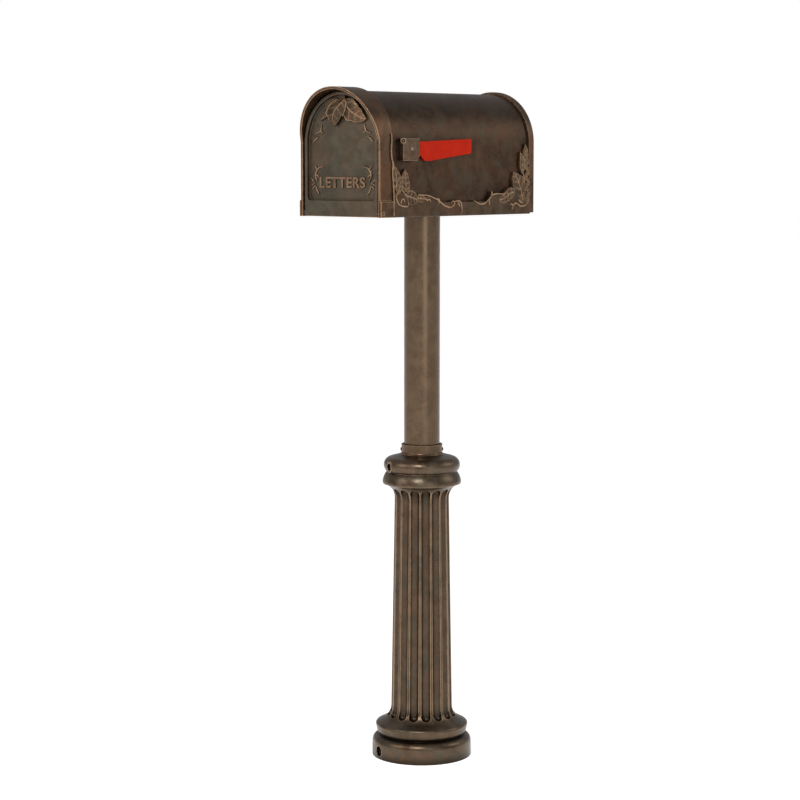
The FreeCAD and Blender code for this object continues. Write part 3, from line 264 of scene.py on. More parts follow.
finishChanges = {
    "barrel_finish": {"dark": (0.034, 0.019, 0.011), "mid": (0.068, 0.042, 0.025), "copperShare": 0.14,
                      "paintedShadeShare": 0.45, "paintedShadeReach": 0.006, "greyShare": 0.6, "redShare": 0.5,
                      "grey": (0.050, 0.050, 0.036)},
    # the hood's wide edge reach and strong wear give its edges a bright painted highlight as well as wear
    "hood_finish": {"dark": (0.046, 0.028, 0.016), "mid": (0.108, 0.062, 0.036),
                    "copper": (0.135, 0.062, 0.034), "copperShare": 0.70, "patch": 9.0, "edgeReach": 0.0038,
                    "wornAndHighlightShare": 0.95, "paintedShadeShare": 0.30, "paintedShadeReach": 0.006},
    "rail_finish": {"dark": (0.046, 0.029, 0.017), "mid": (0.088, 0.057, 0.035), "copperShare": 0.25,
                    "paintedShadeShare": 0.45, "paintedShadeReach": 0.006},
    "door_finish": {"dark": (0.066, 0.056, 0.040), "mid": (0.104, 0.088, 0.063), "copperShare": 0.18,
                    "edgeReach": 0.0026, "wornAndHighlightShare": 0.90, "paintedShadeShare": 0.6, "rough": 0.50},
    "leaf_finish": {"dark": (0.048, 0.031, 0.019), "mid": (0.096, 0.064, 0.040), "copperShare": 0.40,
                    "wornAndHighlightShare": 0.80, "patch": 14.0, "edgeReach": 0.0012, "paintedShadeReach": 0.005,
                    "paintedShadeShare": 0.45},
    "bracket_finish": {"dark": (0.075, 0.047, 0.029), "mid": (0.150, 0.100, 0.062), "copperShare": 0.2,
                       "edgeReach": 0.0032, "wornAndHighlightShare": 0.95},
    "tube_finish": {"dark": (0.108, 0.073, 0.046), "mid": (0.148, 0.100, 0.063), "copperShare": 0.12,
                    "grain": 0.12, "rough": 0.29, "redShare": 0.15, "greyShare": 0.15},
    "collar_finish": {"dark": (0.085, 0.056, 0.036), "mid": (0.150, 0.098, 0.062), "copperShare": 0.4,
                      "rough": 0.36},
    "base_finish": {"dark": (0.072, 0.052, 0.034), "mid": (0.132, 0.095, 0.063), "copperShare": 0.20,
                    "grey": (0.074, 0.073, 0.058), "red": (0.165, 0.070, 0.040),
                    "greyShare": 0.65, "redShare": 0.60,
                    # the base gets strong, far-reaching painted shade that darkens its flutes and cove
                    "paintedShade": (0.020, 0.015, 0.011), "paintedShadeShare": 0.85, "paintedShadeReach": 0.026,
                    "paintedShadeFull": 0.54, "paintedShadeNone": 0.99, "edgeReach": 0.0042, "wornAndHighlightShare": 0.80,
                    "grain": 0.5, "edgeRound": 0.0015, "rough": 0.33},
}
finishes = {}
for slotName, changes in finishChanges.items():
    finishes[slotName] = agedBronze("aged_" + slotName, {**bronzeLook, **changes})


# what the plain finishes share
plainBase = {"toneBand": (0.35, 0.68), "roughBelow": 0.08, "roughAbove": 0.10, "grainDepth": 0.00015}


def plainMetal(name, look):
    material, tree, shader, where = newMaterial(name)
    cloudy = noiseValue(tree, where, look["cloud"], 5.0, 0.6)
    fine = noiseValue(tree, where, look["fine"], 3.0, 0.6)
    colour = blendColour(tree, spread(tree, cloudy, *plainBase["toneBand"]), look["dark"], look["light"])
    tree.links.new(colour, shader.inputs["Base Color"])
    rough = spread(tree, fine, *bronzeBand["rough"],
                   look["rough"] - plainBase["roughBelow"], look["rough"] + plainBase["roughAbove"])
    tree.links.new(rough, shader.inputs["Roughness"])
    shader.inputs["Metallic"].default_value = look["metallic"]
    raisedDetail(tree, shader, ((fine, plainBase["grainDepth"], look["grain"]),), look["edgeRound"])
    return material


plainLooks = {
    "cast_plain": {"dark": (0.30, 0.30, 0.30), "light": (0.48, 0.48, 0.47), "cloud": 40.0, "fine": 900.0,
                   "rough": 0.5, "metallic": 0.8, "grain": 0.6, "edgeRound": 0.0006},
    "steel": {"dark": (0.13, 0.12, 0.11), "light": (0.27, 0.25, 0.23), "cloud": 120.0, "fine": 700.0,
              "rough": 0.34, "metallic": 0.9, "grain": 0.3, "edgeRound": 0.0003},
    "zinc_plate": {"dark": (0.42, 0.43, 0.44), "light": (0.58, 0.58, 0.57), "cloud": 150.0, "fine": 800.0,
                   "rough": 0.36, "metallic": 0.9, "grain": 0.3, "edgeRound": 0.0003},
    "magnet": {"dark": (0.035, 0.035, 0.037), "light": (0.075, 0.074, 0.074), "cloud": 90.0, "fine": 600.0,
               "rough": 0.55, "metallic": 0.2, "grain": 0.5, "edgeRound": 0.0004},
    "nylon": {"dark": (0.020, 0.020, 0.020), "light": (0.040, 0.039, 0.038), "cloud": 90.0, "fine": 700.0,
              "rough": 0.45, "metallic": 0.0, "grain": 0.3, "edgeRound": 0.0003},
    "blackened_steel": {"dark": (0.045, 0.040, 0.036), "light": (0.110, 0.094, 0.080), "cloud": 130.0,
                        "fine": 700.0, "rough": 0.36, "metallic": 0.85, "grain": 0.3, "edgeRound": 0.0004},
}
for slotName, look in plainLooks.items():
    finishes[slotName] = plainMetal("plain_" + slotName, look)


flagLook = {
    "deep": (0.345, 0.010, 0.001),
    "bright": (0.405, 0.013, 0.001),
    # dark red painted into hollows as shade
    "paintedShade": (0.15, 0.005, 0.001),
    "cloud": 26.0,
    "peel": 520.0,
    "peelDepth": 0.00012,
    "peelStrength": 0.25,
    "toneBand": (0.35, 0.7),
    "paintedShadeBand": (0.35, 0.9),
    "paintedShadeShare": 0.5,
    "rough": (0.36, 0.46),
    "paintedShadeReach": 0.006,
    "specular": 0.06,
    "edgeRound": 0.0006,
}


def flagPaint(look):
    material, tree, shader, where = newMaterial("flag_red_paint")
    cloudy = noiseValue(tree, where, look["cloud"], 5.0, 0.6)
    peel = noiseValue(tree, where, look["peel"], 2.0, 0.5)
    colour = blendColour(tree, spread(tree, cloudy, *look["toneBand"]), look["deep"], look["bright"])
    # painted shade: darker red where the ambient occlusion is low, in hollows and next to other parts
    openness = opennessValue(tree, look["paintedShadeReach"])
    paintedShadeMask = spread(tree, openness, *look["paintedShadeBand"], look["paintedShadeShare"], 0.0)
    colour = blendColour(tree, paintedShadeMask, colour, look["paintedShade"])
    tree.links.new(colour, shader.inputs["Base Color"])
    tree.links.new(spread(tree, cloudy, *bronzeBand["rough"], *look["rough"]), shader.inputs["Roughness"])
    shader.inputs["Specular IOR Level"].default_value = look["specular"]
    heights = ((peel, look["peelDepth"], look["peelStrength"]),)
    raisedDetail(tree, shader, heights, look["edgeRound"])
    return material


finishes["flag_red"] = flagPaint(flagLook)

slotOfNode = {entry["node"]: entry["material_slot"] for entry in frame["record"]["subparts"]}


def dress(piece, slotName):
    piece.data.materials.clear()
    piece.data.materials.append(finishes[slotName])


for nodeName, node in cadNodes.items():
    for place in range(max(1, len(node.material_slots))):
        if not node.material_slots:
            node.data.materials.append(None)
        node.material_slots[place].material = finishes[slotOfNode[nodeName]]
print("finishes made:", len(finishes))


# building blocks for the cast ornament
sharpFrom = 42.0      # degrees between faces that meet in a sharp edge


def newMesh():
    bm = bmesh.new()
    bm.verts.layers.float.new("rubAndHighlight")
    return bm


# the rub layer marks relief tops that get rubbed wear and a painted highlight in the finish
def setRubAndHighlight(bm, vertex, value):
    vertex[bm.verts.layers.float["rubAndHighlight"]] = value


def finishPiece(bm, name, body, slotName, *stands):
    bmesh.ops.recalc_face_normals(bm, faces=bm.faces[:])
    mesh = bpy.data.meshes.new(name)
    bm.to_mesh(mesh)
    bm.free()
    mesh.shade_smooth()
    mesh.set_sharp_from_angle(angle=math.radians(sharpFrom))
    piece = bpy.data.objects.new(name, mesh)
    bpy.context.scene.collection.objects.link(piece)
    dress(piece, slotName)
    if stands:
        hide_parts(*stands)
    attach(piece, body)
    return piece


def smoothRun(points, each):
    # Catmull-Rom through the points; every point may hold any count of numbers
    run = []
    last = len(points) - 1
    for place in range(last):
        before = points[max(place - 1, 0)]
        here = points[place]
        after = points[place + 1]
        beyond = points[min(place + 2, last)]
        for step in range(each):
            t = step / each
            value = []
            for a, b, c, d in zip(before, here, after, beyond):
                value.append(0.5 * (2 * b + (c - a) * t + (2 * a - 5 * b + 4 * c - d) * t * t
                                    + (3 * b - a - 3 * c + d) * t ** 3))
            run.append(tuple(value))
    run.append(tuple(points[last]))
    return run


def sideways(run, place):
    ahead = run[min(place + 1, len(run) - 1)]
    behind = run[max(place - 1, 0)]
    dx = ahead[0] - behind[0]
    dy = ahead[1] - behind[1]
    length = math.hypot(dx, dy) or 1.0
    return -dy / length, dx / length


def joinRings(bm, rings):
    # walls between closed rings of corners, and a face on each end
    for first, second in zip(rings, rings[1:]):
        for a in range(len(first)):
            b = (a + 1) % len(first)
            bm.faces.new((first[a], first[b], second[b], second[a]))
    bm.faces.new(rings[0])
    bm.faces.new(rings[-1])


ridgeLook = {
    "each": 7,                                   # rings between two points
    "turns": (-90, -60, -30, 0, 30, 60, 90),     # degrees round the top
    # vine tops within this angle get rubbed wear and a painted highlight
    "rubAndHighlightWithin": 30,
    "rubAndHighlight": 0.9,
}


def ridge(bm, points, place, foot, rubAndHighlight=ridgeLook["rubAndHighlight"]):
    # a vine: rounded on top, straight walls down to the foot; a point is (across, up, radius, height)
    run = smoothRun(points, ridgeLook["each"])
    rings = []
    for at, (u, v, radius, height) in enumerate(run):
        nx, ny = sideways(run, at)
        ring = []
        for angle in ridgeLook["turns"]:
            turn = math.radians(angle)
            away = radius * math.sin(turn)
            rise = height - radius * (1 - math.cos(turn))
            ring.append(bm.verts.new(place(u + nx * away, v + ny * away, rise)))
            setRubAndHighlight(bm, ring[-1], rubAndHighlight if abs(angle) <= ridgeLook["rubAndHighlightWithin"] else 0.0)
        ring.append(bm.verts.new(place(u + nx * radius, v + ny * radius, foot)))
        ring.insert(0, bm.verts.new(place(u - nx * radius, v - ny * radius, foot)))
        rings.append(ring)
    joinRings(bm, rings)


def evenRun(points, count):
    # the smooth run through the points, in equal steps
    fine = 12
    run = smoothRun(points, fine)
    reach = [0.0]
    for first, second in zip(run, run[1:]):
        reach.append(reach[-1] + math.hypot(second[0] - first[0], second[1] - first[1]))
    steps = []
    at = 0
    for number in range(count):
        wanted = reach[-1] * number / (count - 1)
        while at < len(reach) - 2 and reach[at + 1] < wanted:
            at += 1
        gap = reach[at + 1] - reach[at] or 1.0
        share = min(max((wanted - reach[at]) / gap, 0.0), 1.0)
        steps.append(tuple(a + (b - a) * share for a, b in zip(run[at], run[at + 1])))
    return steps


def addFace(bm, *corners):
    # corners that meet at the foot or the tip of a leaf count once
    distinct = list(dict.fromkeys(corners))
    if len(distinct) > 2:
        bm.faces.new(distinct)


# what every leaf shares; rail leaves and pull leaves change some of it
leafLook = {
    "rows": 40,
    "columns": 20,
    "teeth": 0,
    "toothDepth": 0.10,
    "lean": 0.0,
    "smallUnder": 6.0,      # half width under which relief fades
    "leastWidth": 0.15,
    # rubbed wear and painted highlight on rims, ribs and veins, and at the foot and tip
    "rubAndHighlight": 0.95,
    "endRubAndHighlight": 0.6,
}


def leafLevel(levels, t):
    # smooth height through the foot, the middle and the tip
    foot, middle, tip = levels
    return foot * (1 - t) * (1 - 2 * t) + 4 * middle * t * (1 - t) + tip * t * (2 * t - 1)


def leafRelief(look, t, c, width):
    # how far a point stands over the leaf's level, and how much rubbed wear and painted highlight it gets
    reach = abs(c) * width
    small = min(width / look["smallUnder"], 1.0)
    rim = math.exp(-((width - reach) / look["rimWide"]) ** 2) * small
    rib = math.exp(-(reach / look["ribWide"]) ** 2) * small
    wave = math.cos(2 * math.pi * (look["veins"] * t - look["veinSlope"] * reach))
    vein = max(wave, 0.0) ** 4 * (1 - abs(c) ** 6) * min(1.0, reach / 2.0) * small
    rise = look["dome"] * (1 - c * c) * small + look["lean"] * c
    rise += look["rim"] * rim + look["rib"] * rib + look["vein"] * vein
    return rise, min(1.0, look["rubAndHighlight"] * max(rim, rib, vein * look["veinRubAndHighlight"]))


def leaf(bm, foot, one, other, tip, levels, place, look):
    # edges run from the foot to the tip; levels are the heights at the foot, the middle and the tip
    look = {**leafLook, **look}
    rows = look["rows"]
    columns = look["columns"]
    first = evenRun([foot, *one, tip], rows)
    second = evenRun([foot, *other, tip], rows)

    def addPair(x, y, rise, rubAndHighlight):
        top = bm.verts.new(place(x, y, rise))
        setRubAndHighlight(bm, top, rubAndHighlight)
        low = bm.verts.new(place(x, y, rise - look["thick"] if look["thick"] else -footInWall))
        return top, low

    pairs = []
    for at in range(rows):
        t = at / (rows - 1)
        (ax, ay), (bx, by) = first[at], second[at]
        mx, my = (ax + bx) / 2.0, (ay + by) / 2.0
        level = leafLevel(levels, t)
        if at in (0, rows - 1):
            pairs.append([addPair(mx, my, level, look["endRubAndHighlight"])] * (columns + 1))
            continue
        width = max(math.hypot(bx - ax, by - ay) / 2.0, look["leastWidth"])
        scallop = 1.0
        if look["teeth"]:
            scallop -= look["toothDepth"] * (0.5 + 0.5 * math.cos(2 * math.pi * look["teeth"] * t))
        row = []
        for column in range(columns + 1):
            c = 2.0 * column / columns - 1.0
            relief, rubAndHighlight = leafRelief(look, t, c, width)
            x = mx + (bx - ax) / 2.0 * c * scallop
            y = my + (by - ay) / 2.0 * c * scallop
            row.append(addPair(x, y, min(level + relief, look["most"]), rubAndHighlight))
        pairs.append(row)
    for here, ahead in zip(pairs, pairs[1:]):
        for a, b in zip(range(columns), range(1, columns + 1)):
            addFace(bm, here[a][0], here[b][0], ahead[b][0], ahead[a][0])
            addFace(bm, here[a][1], ahead[a][1], ahead[b][1], here[b][1])
        for side in (0, columns):
            addFace(bm, here[side][0], ahead[side][0], ahead[side][1], here[side][1])


def sidePlace(side):
    # across is along the box, up is from its bottom, out is from the barrel's flat side
    def place(across, up, out):
        return Vector((side * (barrelSide + out), across, boxFoot + up)) * millimetre
    return place


def doorPlace(across, up, out):
    return Vector((across, recessFloor - out, boxFoot + up)) * millimetre


# bottom rails, and the vines and leaves on them, in millimetres
proud = railFace - barrelSide
railLook = {
    "round": 2.0,                # outer edges
    "sunk": 1.6,                 # the bar's face behind the tops of the vines
    "step": 4.0,                 # between cuts along the bar
    "turnSteps": 7,              # round each outer edge
    "footIn": 0.1,
    "vineRadius": 2.1,
    "vineThin": 0.45,            # share of the radius left at a vine's ends
    "vineFill": 1.6,             # how soon a vine is full
    "vineHeight": proud - 0.1,   # over the barrel's side
    "farHeight": 6.0,            # well above the rail
    "fallFrom": 6.0,             # over the rail's top, where vines start to fall back
    "fallOver": 40.0,
    "leafDrop": 0.9,
    "leaf": {"dome": 0.6, "rib": 1.0, "rim": 0.9, "vein": 0.7, "veins": 5.0, "veinSlope": 0.05,
             "ribWide": 1.0, "rimWide": 1.2, "thick": 0.0, "veinRubAndHighlight": 0.6, "most": proud - 0.1},
}

# the top edge of each bar follows the vine on it: (across, up)
barTops = {
    "front": ((-215, 50), (-172, 50), (-160, 51), (-150, 49), (-138, 44), (-122, 42.5), (-106, 41.5),
              (-93, 37.5), (-80, 33), (-66, 29), (60, 29)),
    "rear": ((-60, 29), (76, 29), (86, 33.5), (96, 40.5), (110, 42.5), (132, 42.5), (142, 48),
             (152, 52), (168, 51), (216, 51)),
}


def topAt(line, across):
    for (a, low), (b, high) in zip(line, line[1:]):
        if a <= across <= b:
            share = (across - a) / (b - a)
            return low + (high - low) * share
    return line[-1][1]


def railSection(top):
    # (up, out) corners of the bar, its outer edges rounded
    rounding = railLook["round"]
    flat = proud - railLook["sunk"] - rounding
    section = [(-railLook["footIn"], 0.0)]
    for start, level in ((-90, rounding), (0, top - rounding)):
        for step in range(railLook["turnSteps"]):
            turn = math.radians(start + 90 / (railLook["turnSteps"] - 1) * step)
            section.append((flat + rounding * math.cos(turn), level + rounding * math.sin(turn)))
    section.append((-railLook["footIn"], top))
    return section


def railBar(bm, side, low, high, line):
    place = sidePlace(side)
    rings = []
    cuts = max(2, int((high - low) / railLook["step"]))
    for cut in range(cuts + 1):
        across = low + (high - low) * cut / cuts
        rings.append([bm.verts.new(place(across, up, out)) for out, up in railSection(topAt(line, across))])
    joinRings(bm, rings)


def outward(up):
    # height of a vine over the barrel: on the rail's face it is full, above the rail it falls back
    full = railLook["vineHeight"]
    share = min(max((up - railTop - railLook["fallFrom"]) / railLook["fallOver"], 0.0), 1.0)
    share = share * share * (3 - 2 * share)
    return full + (railLook["farHeight"] - full) * share


def endShare(at, count):
    # nought at a vine's ends, one along its middle
    last = count - 1
    return min(1.0, min(at, last - at) / max(1.0, last / 2) * railLook["vineFill"])


def vine(bm, side, points):
    full = []
    for at, (across, up) in enumerate(points):
        thin = railLook["vineThin"]
        radius = railLook["vineRadius"] * (thin + (1 - thin) * endShare(at, len(points)))
        full.append((across, up, radius, outward(up)))
    ridge(bm, full, sidePlace(side), -footInWall)


# a leaf is (foot, one edge, other edge, tip, heights at foot, middle and tip, teeth)
frontOrnament = {
    "leaves": (
        ((-199.9, 49), ((-205.3, 56), (-212.2, 70), (-212.6, 84)), ((-193.6, 66), (-189.5, 82), (-197, 95)),
         (-210.6, 108), (8.5, 7.8, 6.4), 0),
        ((-174, 50), ((-182.5, 55), (-186, 65), (-183.8, 82)), ((-164, 54), (-162, 68), (-166.5, 85)),
         (-173.5, 97), (8.6, 7.8, 5.8), 0),
        ((-195.4, 45), ((-201.5, 50), (-204, 58), (-201.3, 68), (-193, 79)),
         ((-189, 53), (-184, 63), (-182.5, 73)), (-180.3, 84), (9.4, 9.2, 7.0), 0),
        ((-172.5, 42), ((-168.8, 53), (-154, 54), (-143, 46)), ((-170.5, 33), (-162, 26), (-148, 25)),
         (-139.6, 34.5), (9.6, 9.2, 9.4), 7),
        ((-143, 38), ((-137, 44.5), (-125, 45)), ((-138, 31), (-126, 30)),
         (-113, 34.5), (9.4, 9.2, 9.2), 0),
    ),
    "vines": (
        ((-191.2, 50.8), (-199, 49), (-203, 42.5), (-202.2, 35.2), (-195.7, 26.1), (-183.8, 22.5),
         (-172, 21.7), (-168.2, 26), (-171, 30)),
        ((-191.2, 26.5), (-189, 32), (-185.3, 37.5), (-181, 35.5), (-179.3, 30.5)),
        ((-186, 56), (-180, 50), (-174, 44), (-168, 41)),
        ((-205, 100), (-199, 92), (-193, 84), (-187, 80)),
        ((-137.1, 45.5), (-124.9, 44.3), (-108.1, 43.1), (-92.8, 38.9), (-77.3, 33.6), (-64.9, 26.2),
         (-52.5, 20.5), (-40, 18.0), (-29.5, 21.5), (-26.2, 27.3), (-30.6, 31.0), (-36.9, 28.2)),
        ((-121.9, 40.2), (-111.2, 34), (-104, 35.4), (-100.4, 29.8)),
        ((-79, 38), (-74.2, 33.5), (-75.8, 25.4)),
        ((-27.4, 29.8), (-18, 31), (-8.5, 29.5), (-3.8, 22.3), (-2.6, 7)),
        ((-17.4, 29.5), (-13, 25), (-9.1, 19.2)),
    ),
}
rearOrnament = {
    "leaves": (
        ((170.5, 47), ((166.6, 53.6), (156.6, 57.5), (146, 54), (135.8, 46), (124, 38)),
         ((163, 37), (148, 28), (130.4, 24.4)), (112, 30.5), (9.4, 9.6, 9.2), 6),
        ((198.5, 24), ((187.2, 34.2), (173.6, 47.1), (166.5, 58), (165.6, 73)),
         ((203.2, 40.4), (204.8, 59.6), (200.2, 77), (186.7, 84)), (169.5, 89.5), (9.4, 8.6, 6.4), 0),
        ((197.5, 84), ((191.3, 97), (190.6, 113)), ((204.5, 94), (206.7, 110), (201.5, 123.6)),
         (192.6, 132), (6.6, 6.8, 5.4), 5),
        ((206, 108), ((202, 120), (202.6, 135)), ((215, 114), (217.2, 130), (214, 143)),
         (209.3, 149), (6.2, 6.6, 5.0), 5),
    ),
    "vines": (
        ((34.5, 30.5), (45.7, 26.7), (57, 23.4), (71.5, 25.2), (84.4, 33.5), (95.8, 41.7), (110.5, 44.2),
         (130.2, 43.4), (138, 44)),
        ((84.5, 33), (85.5, 27), (83.5, 20.5)),
        ((94.1, 40), (94.8, 45.5), (92.5, 50)),
        ((158.7, 9.1), (160, 14), (163.6, 18.6), (168, 22.5), (174, 23.5), (180.3, 20.5), (187, 17.5),
         (193.8, 17.1), (201, 18.2), (207.2, 21.1), (212, 26), (214.2, 34)),
        ((180.2, 31.5), (185, 28.5), (190.3, 25.2), (196, 24)),
        ((163.6, 18.6), (158, 22), (152, 20.5)),
        ((207.2, 62), (206, 75), (203, 86), (199, 92)),
    ),
}
sprigLook = {
    "foot": 22.0,
    "spacing": 11.5,
    "count": 9,
    "long": 17.0,
    "halfWidth": 4.8,
    "middle": 211.8,
    "leans": (-4.5, 5.5),
    "edgeUps": (4, 11),
    "height": 9.4,
    "leastHeight": 6.4,
    "fall": 0.035,
    "oddLift": 0.5,
    "bulge": 0.4,
    "tipDrop": 1.2,
    "footLean": 0.3,
    "edgeLean": 0.5,
    "leaf": {"rows": 18, "columns": 10, "veins": 3.0, "rimWide": 0.9, "ribWide": 0.8},
}


def growOrnament(bm, side, ornament):
    for foot, one, other, tip, levels, teeth in ornament["leaves"]:
        lowered = tuple(level - railLook["leafDrop"] for level in levels)
        leaf(bm, foot, one, other, tip, lowered, sidePlace(side), {**railLook["leaf"], "teeth": teeth})
    for points in ornament["vines"]:
        vine(bm, side, points)


def growSprig(bm, side):
    # the column of small overlapping leaves beside the rear cap
    look = {**railLook["leaf"], **sprigLook["leaf"]}
    half = sprigLook["halfWidth"]
    middle = sprigLook["middle"]
    near, far = sprigLook["edgeUps"]
    for number in range(sprigLook["count"]):
        up = sprigLook["foot"] + sprigLook["spacing"] * number
        lean = sprigLook["leans"][number % 2]
        bent = lean * sprigLook["edgeLean"]
        height = max(sprigLook["leastHeight"], sprigLook["height"] - sprigLook["fall"] * up)
        height += sprigLook["oddLift"] * (number % 2)
        leaf(bm, (middle - lean * sprigLook["footLean"], up),
             ((middle - half, up + near), (middle - half + bent, up + far)),
             ((middle + half, up + near), (middle + half + bent, up + far)),
             (middle + lean, up + sprigLook["long"]),
             (height, height + sprigLook["bulge"], height - sprigLook["tipDrop"]),
             sidePlace(side), look)


for side, word in ((1, "right"), (-1, "left")):
    bm = newMesh()
    railBar(bm, side, *frontRail, barTops["front"])
    finishPiece(bm, "railFront_" + word, "mailbox", "rail_finish", "rail_front_" + word)
    bm = newMesh()
    growOrnament(bm, side, frontOrnament)
    finishPiece(bm, "frontVines_" + word, "mailbox", "leaf_finish")
    bm = newMesh()
    railBar(bm, side, *rearRail, barTops["rear"])
    finishPiece(bm, "railRear_" + word, "mailbox", "rail_finish", "rail_rear_" + word)
    bm = newMesh()
    growOrnament(bm, side, rearOrnament)
    growSprig(bm, side)
    finishPiece(bm, "rearVines_" + word, "mailbox", "leaf_finish")
print("rails and leaves made")

# the stem that climbs the hood's rear edge: (across, up, radius, height)
stemHeight = proud - 0.2
hoodStem = {
    "points": ((-210.6, 3, 1.6, stemHeight), (-210.6, 36, 1.8, stemHeight), (-211.2, 52, 1.8, stemHeight),
               (-213.2, 76, 2.0, stemHeight), (-214.6, 91, 2.1, stemHeight),
               (-212.6, 103, 2.7, stemHeight), (-213.4, 110, 2.7, stemHeight),
               (-216.4, 118, 2.1, stemHeight), (-218.6, 135, 2.0, stemHeight),
               (-216.8, 153, 1.8, stemHeight), (-217.2, 168, 1.0, stemHeight - 1.0)),
    "foot": 4.0,
}
for side, word in ((1, "right"), (-1, "left")):
    bm = newMesh()
    ridge(bm, hoodStem["points"], sidePlace(side), hoodStem["foot"])
    finishPiece(bm, "hoodStem_" + word, "mailbox", "leaf_finish")

# the door's leaf pull, scrolls and word
pullLook = {
    "dome": 2.2,
    "rib": 0.9,
    "rim": 1.0,
    "vein": 0.6,
    "veins": 5.0,
    "veinSlope": 0.035,
    "veinRubAndHighlight": 0.4,
    "ribWide": 0.9,
    "rimWide": 1.0,
    "thick": 3.0,
    "most": 13.5,
    "rows": 54,
    "columns": 26,
}
# (foot, one edge, other edge, tip, heights, changes)
pullLeaves = (
    ((-8, 238), ((-22, 239), (-34, 233), (-43, 221), (-51, 208)), ((-22, 228), (-33, 214), (-42, 203)),
     (-62.7, 194.4), (5.0, 5.2, 4.0), {"teeth": 4}),
    ((14, 238), ((26, 239.5), (36, 237), (47, 228), (58, 216)),
     ((9, 226), (5, 210), (14, 197), (35, 191.5), (55, 190.5)),
     (69.8, 197), (7.4, 7.4, 4.6), {"teeth": 5}),
    ((14, 239), ((-12, 233), (-30, 225), (-39, 212), (-35, 201)),
     ((19, 231), (15, 221), (6, 206), (-5, 193)),
     (-17.5, 183.5), (8.6, 9.2, 6.0), {"lean": 1.0}),
)
# (points, foot): the stem with the fold, the bud, and the bridge that holds the leaves off the door
pullRidges = (
    (((9, 246, 2.2, 7.0), (12, 241, 2.8, 9.5), (16.5, 235, 2.6, 12.0), (20, 228.5, 2.2, 13.0),
      (16, 215, 1.8, 12.8), (9, 203.5, 1.2, 12.0)), 3.0),
    (((36, 236, 2.4, 8.0), (40, 231, 3.2, 9.6), (44, 226, 2.0, 8.4)), 3.0),
    (((-18, 222, 4.5, 5.0), (0, 222, 5.0, 5.0), (18, 222, 4.5, 5.0)), 0.0),
)
bm = newMesh()
for foot, one, other, tip, levels, changes in pullLeaves:
    leaf(bm, foot, one, other, tip, levels, doorPlace, {**pullLook, **changes})
for points, foot in pullRidges:
    ridge(bm, points, doorPlace, foot)
finishPiece(bm, "leafPull", "door", "leaf_finish", "door_leaf_pull")

doorTwigs = {
    "radius": 2.0,
    "height": 2.5,
    "thin": 0.5,
    "shift": 1.0,
    # rubbed wear and painted highlight along the twigs' tops
    "rubAndHighlight": 0.62,
    "left": (
        ((-60.6, 186.5), (-61.5, 180), (-63.7, 174.7), (-70, 171.5), (-77.8, 169.3)),
        ((-63.7, 174.7), (-60.5, 172), (-56, 170.8)),
        ((-69.3, 162.6), (-75, 159.5), (-80, 156), (-83.4, 152.0)),
        ((-54.8, 101.7), (-62, 101.2), (-70.4, 98.4), (-76, 92), (-78.3, 85.1), (-77, 79), (-73.6, 73)),
        ((-79.7, 104), (-76.5, 99.5), (-73.5, 96)),
        ((-90, 79), (-86, 73.5), (-81, 69.5)),
        ((-88.5, 64), (-84, 66.5), (-79.5, 69)),
        ((-87, 56.5), (-83.5, 59.5), (-80, 64)),
        ((-78, 63.5), (-76, 57), (-72.5, 51), (-67.5, 45.5)),
        ((-78.3, 85.1), (-73, 84), (-70, 80)),
    ),
}
doorTwigs["right"] = tuple(tuple((-across, up) for across, up in run) for run in doorTwigs["left"])


def doorTwig(bm, points):
    full = []
    for at, (across, up) in enumerate(points):
        thin = doorTwigs["thin"]
        radius = doorTwigs["radius"] * (thin + (1 - thin) * endShare(at, len(points)))
        full.append((across + doorTwigs["shift"], up, radius, doorTwigs["height"]))
    ridge(bm, full, doorPlace, -footInDoor, doorTwigs["rubAndHighlight"])


bm = newMesh()
for word in ("left", "right"):
    for points in doorTwigs[word]:
        doorTwig(bm, points)
finishPiece(bm, "doorScrolls", "door", "leaf_finish")

wordLook = {
    "text": "LETTERS",
    "left": -65.0,
    "right": 63.0,
    "low": 58.6,
    "tall": 22.6,
    "raise": 2.2,
    "thicken": 0.022,
    "spacing": 1.06,
    # rubbed wear and painted highlight on the letters' faces
    "rubAndHighlight": 0.5,
    "softEdge": 0.0004,
    "curveSteps": 6,
    "mergeWithin": 0.00002,
    "faceShare": 0.6,
}


def flatWord():
    # the word as a solid mesh from Blender's own font; its size and depth are set further down
    curve = bpy.data.curves.new("doorWord", "FONT")
    curve.body = wordLook["text"]
    curve.extrude = 0.5
    curve.offset = wordLook["thicken"]
    curve.resolution_u = wordLook["curveSteps"]
    curve.space_character = wordLook["spacing"]
    textObject = bpy.data.objects.new("doorWordText", curve)
    bpy.context.scene.collection.objects.link(textObject)
    bpy.context.view_layer.update()
    wordMesh = bpy.data.meshes.new_from_object(textObject)
    bpy.data.objects.remove(textObject)
    return wordMesh


wordMesh = flatWord()
lows = [min(vertex.co[axis] for vertex in wordMesh.vertices) for axis in range(3)]
highs = [max(vertex.co[axis] for vertex in wordMesh.vertices) for axis in range(3)]
for vertex in wordMesh.vertices:
    share = [(vertex.co[axis] - lows[axis]) / (highs[axis] - lows[axis]) for axis in range(3)]
    across = wordLook["left"] + (wordLook["right"] - wordLook["left"]) * share[0]
    up = wordLook["low"] + wordLook["tall"] * share[1]
    vertex.co = doorPlace(across, up, -footInDoor + (wordLook["raise"] + footInDoor) * share[2])
bm = newMesh()
bm.from_mesh(wordMesh)
bmesh.ops.remove_doubles(bm, verts=bm.verts[:], dist=wordLook["mergeWithin"])
if not bm.verts.layers.float.get("rubAndHighlight"):
    bm.verts.layers.float.new("rubAndHighlight")
faceLine = doorPlace(0, 0, wordLook["raise"] * wordLook["faceShare"]).y
for vertex in bm.verts:
    setRubAndHighlight(bm, vertex, wordLook["rubAndHighlight"] if vertex.co.y < faceLine else 0.0)
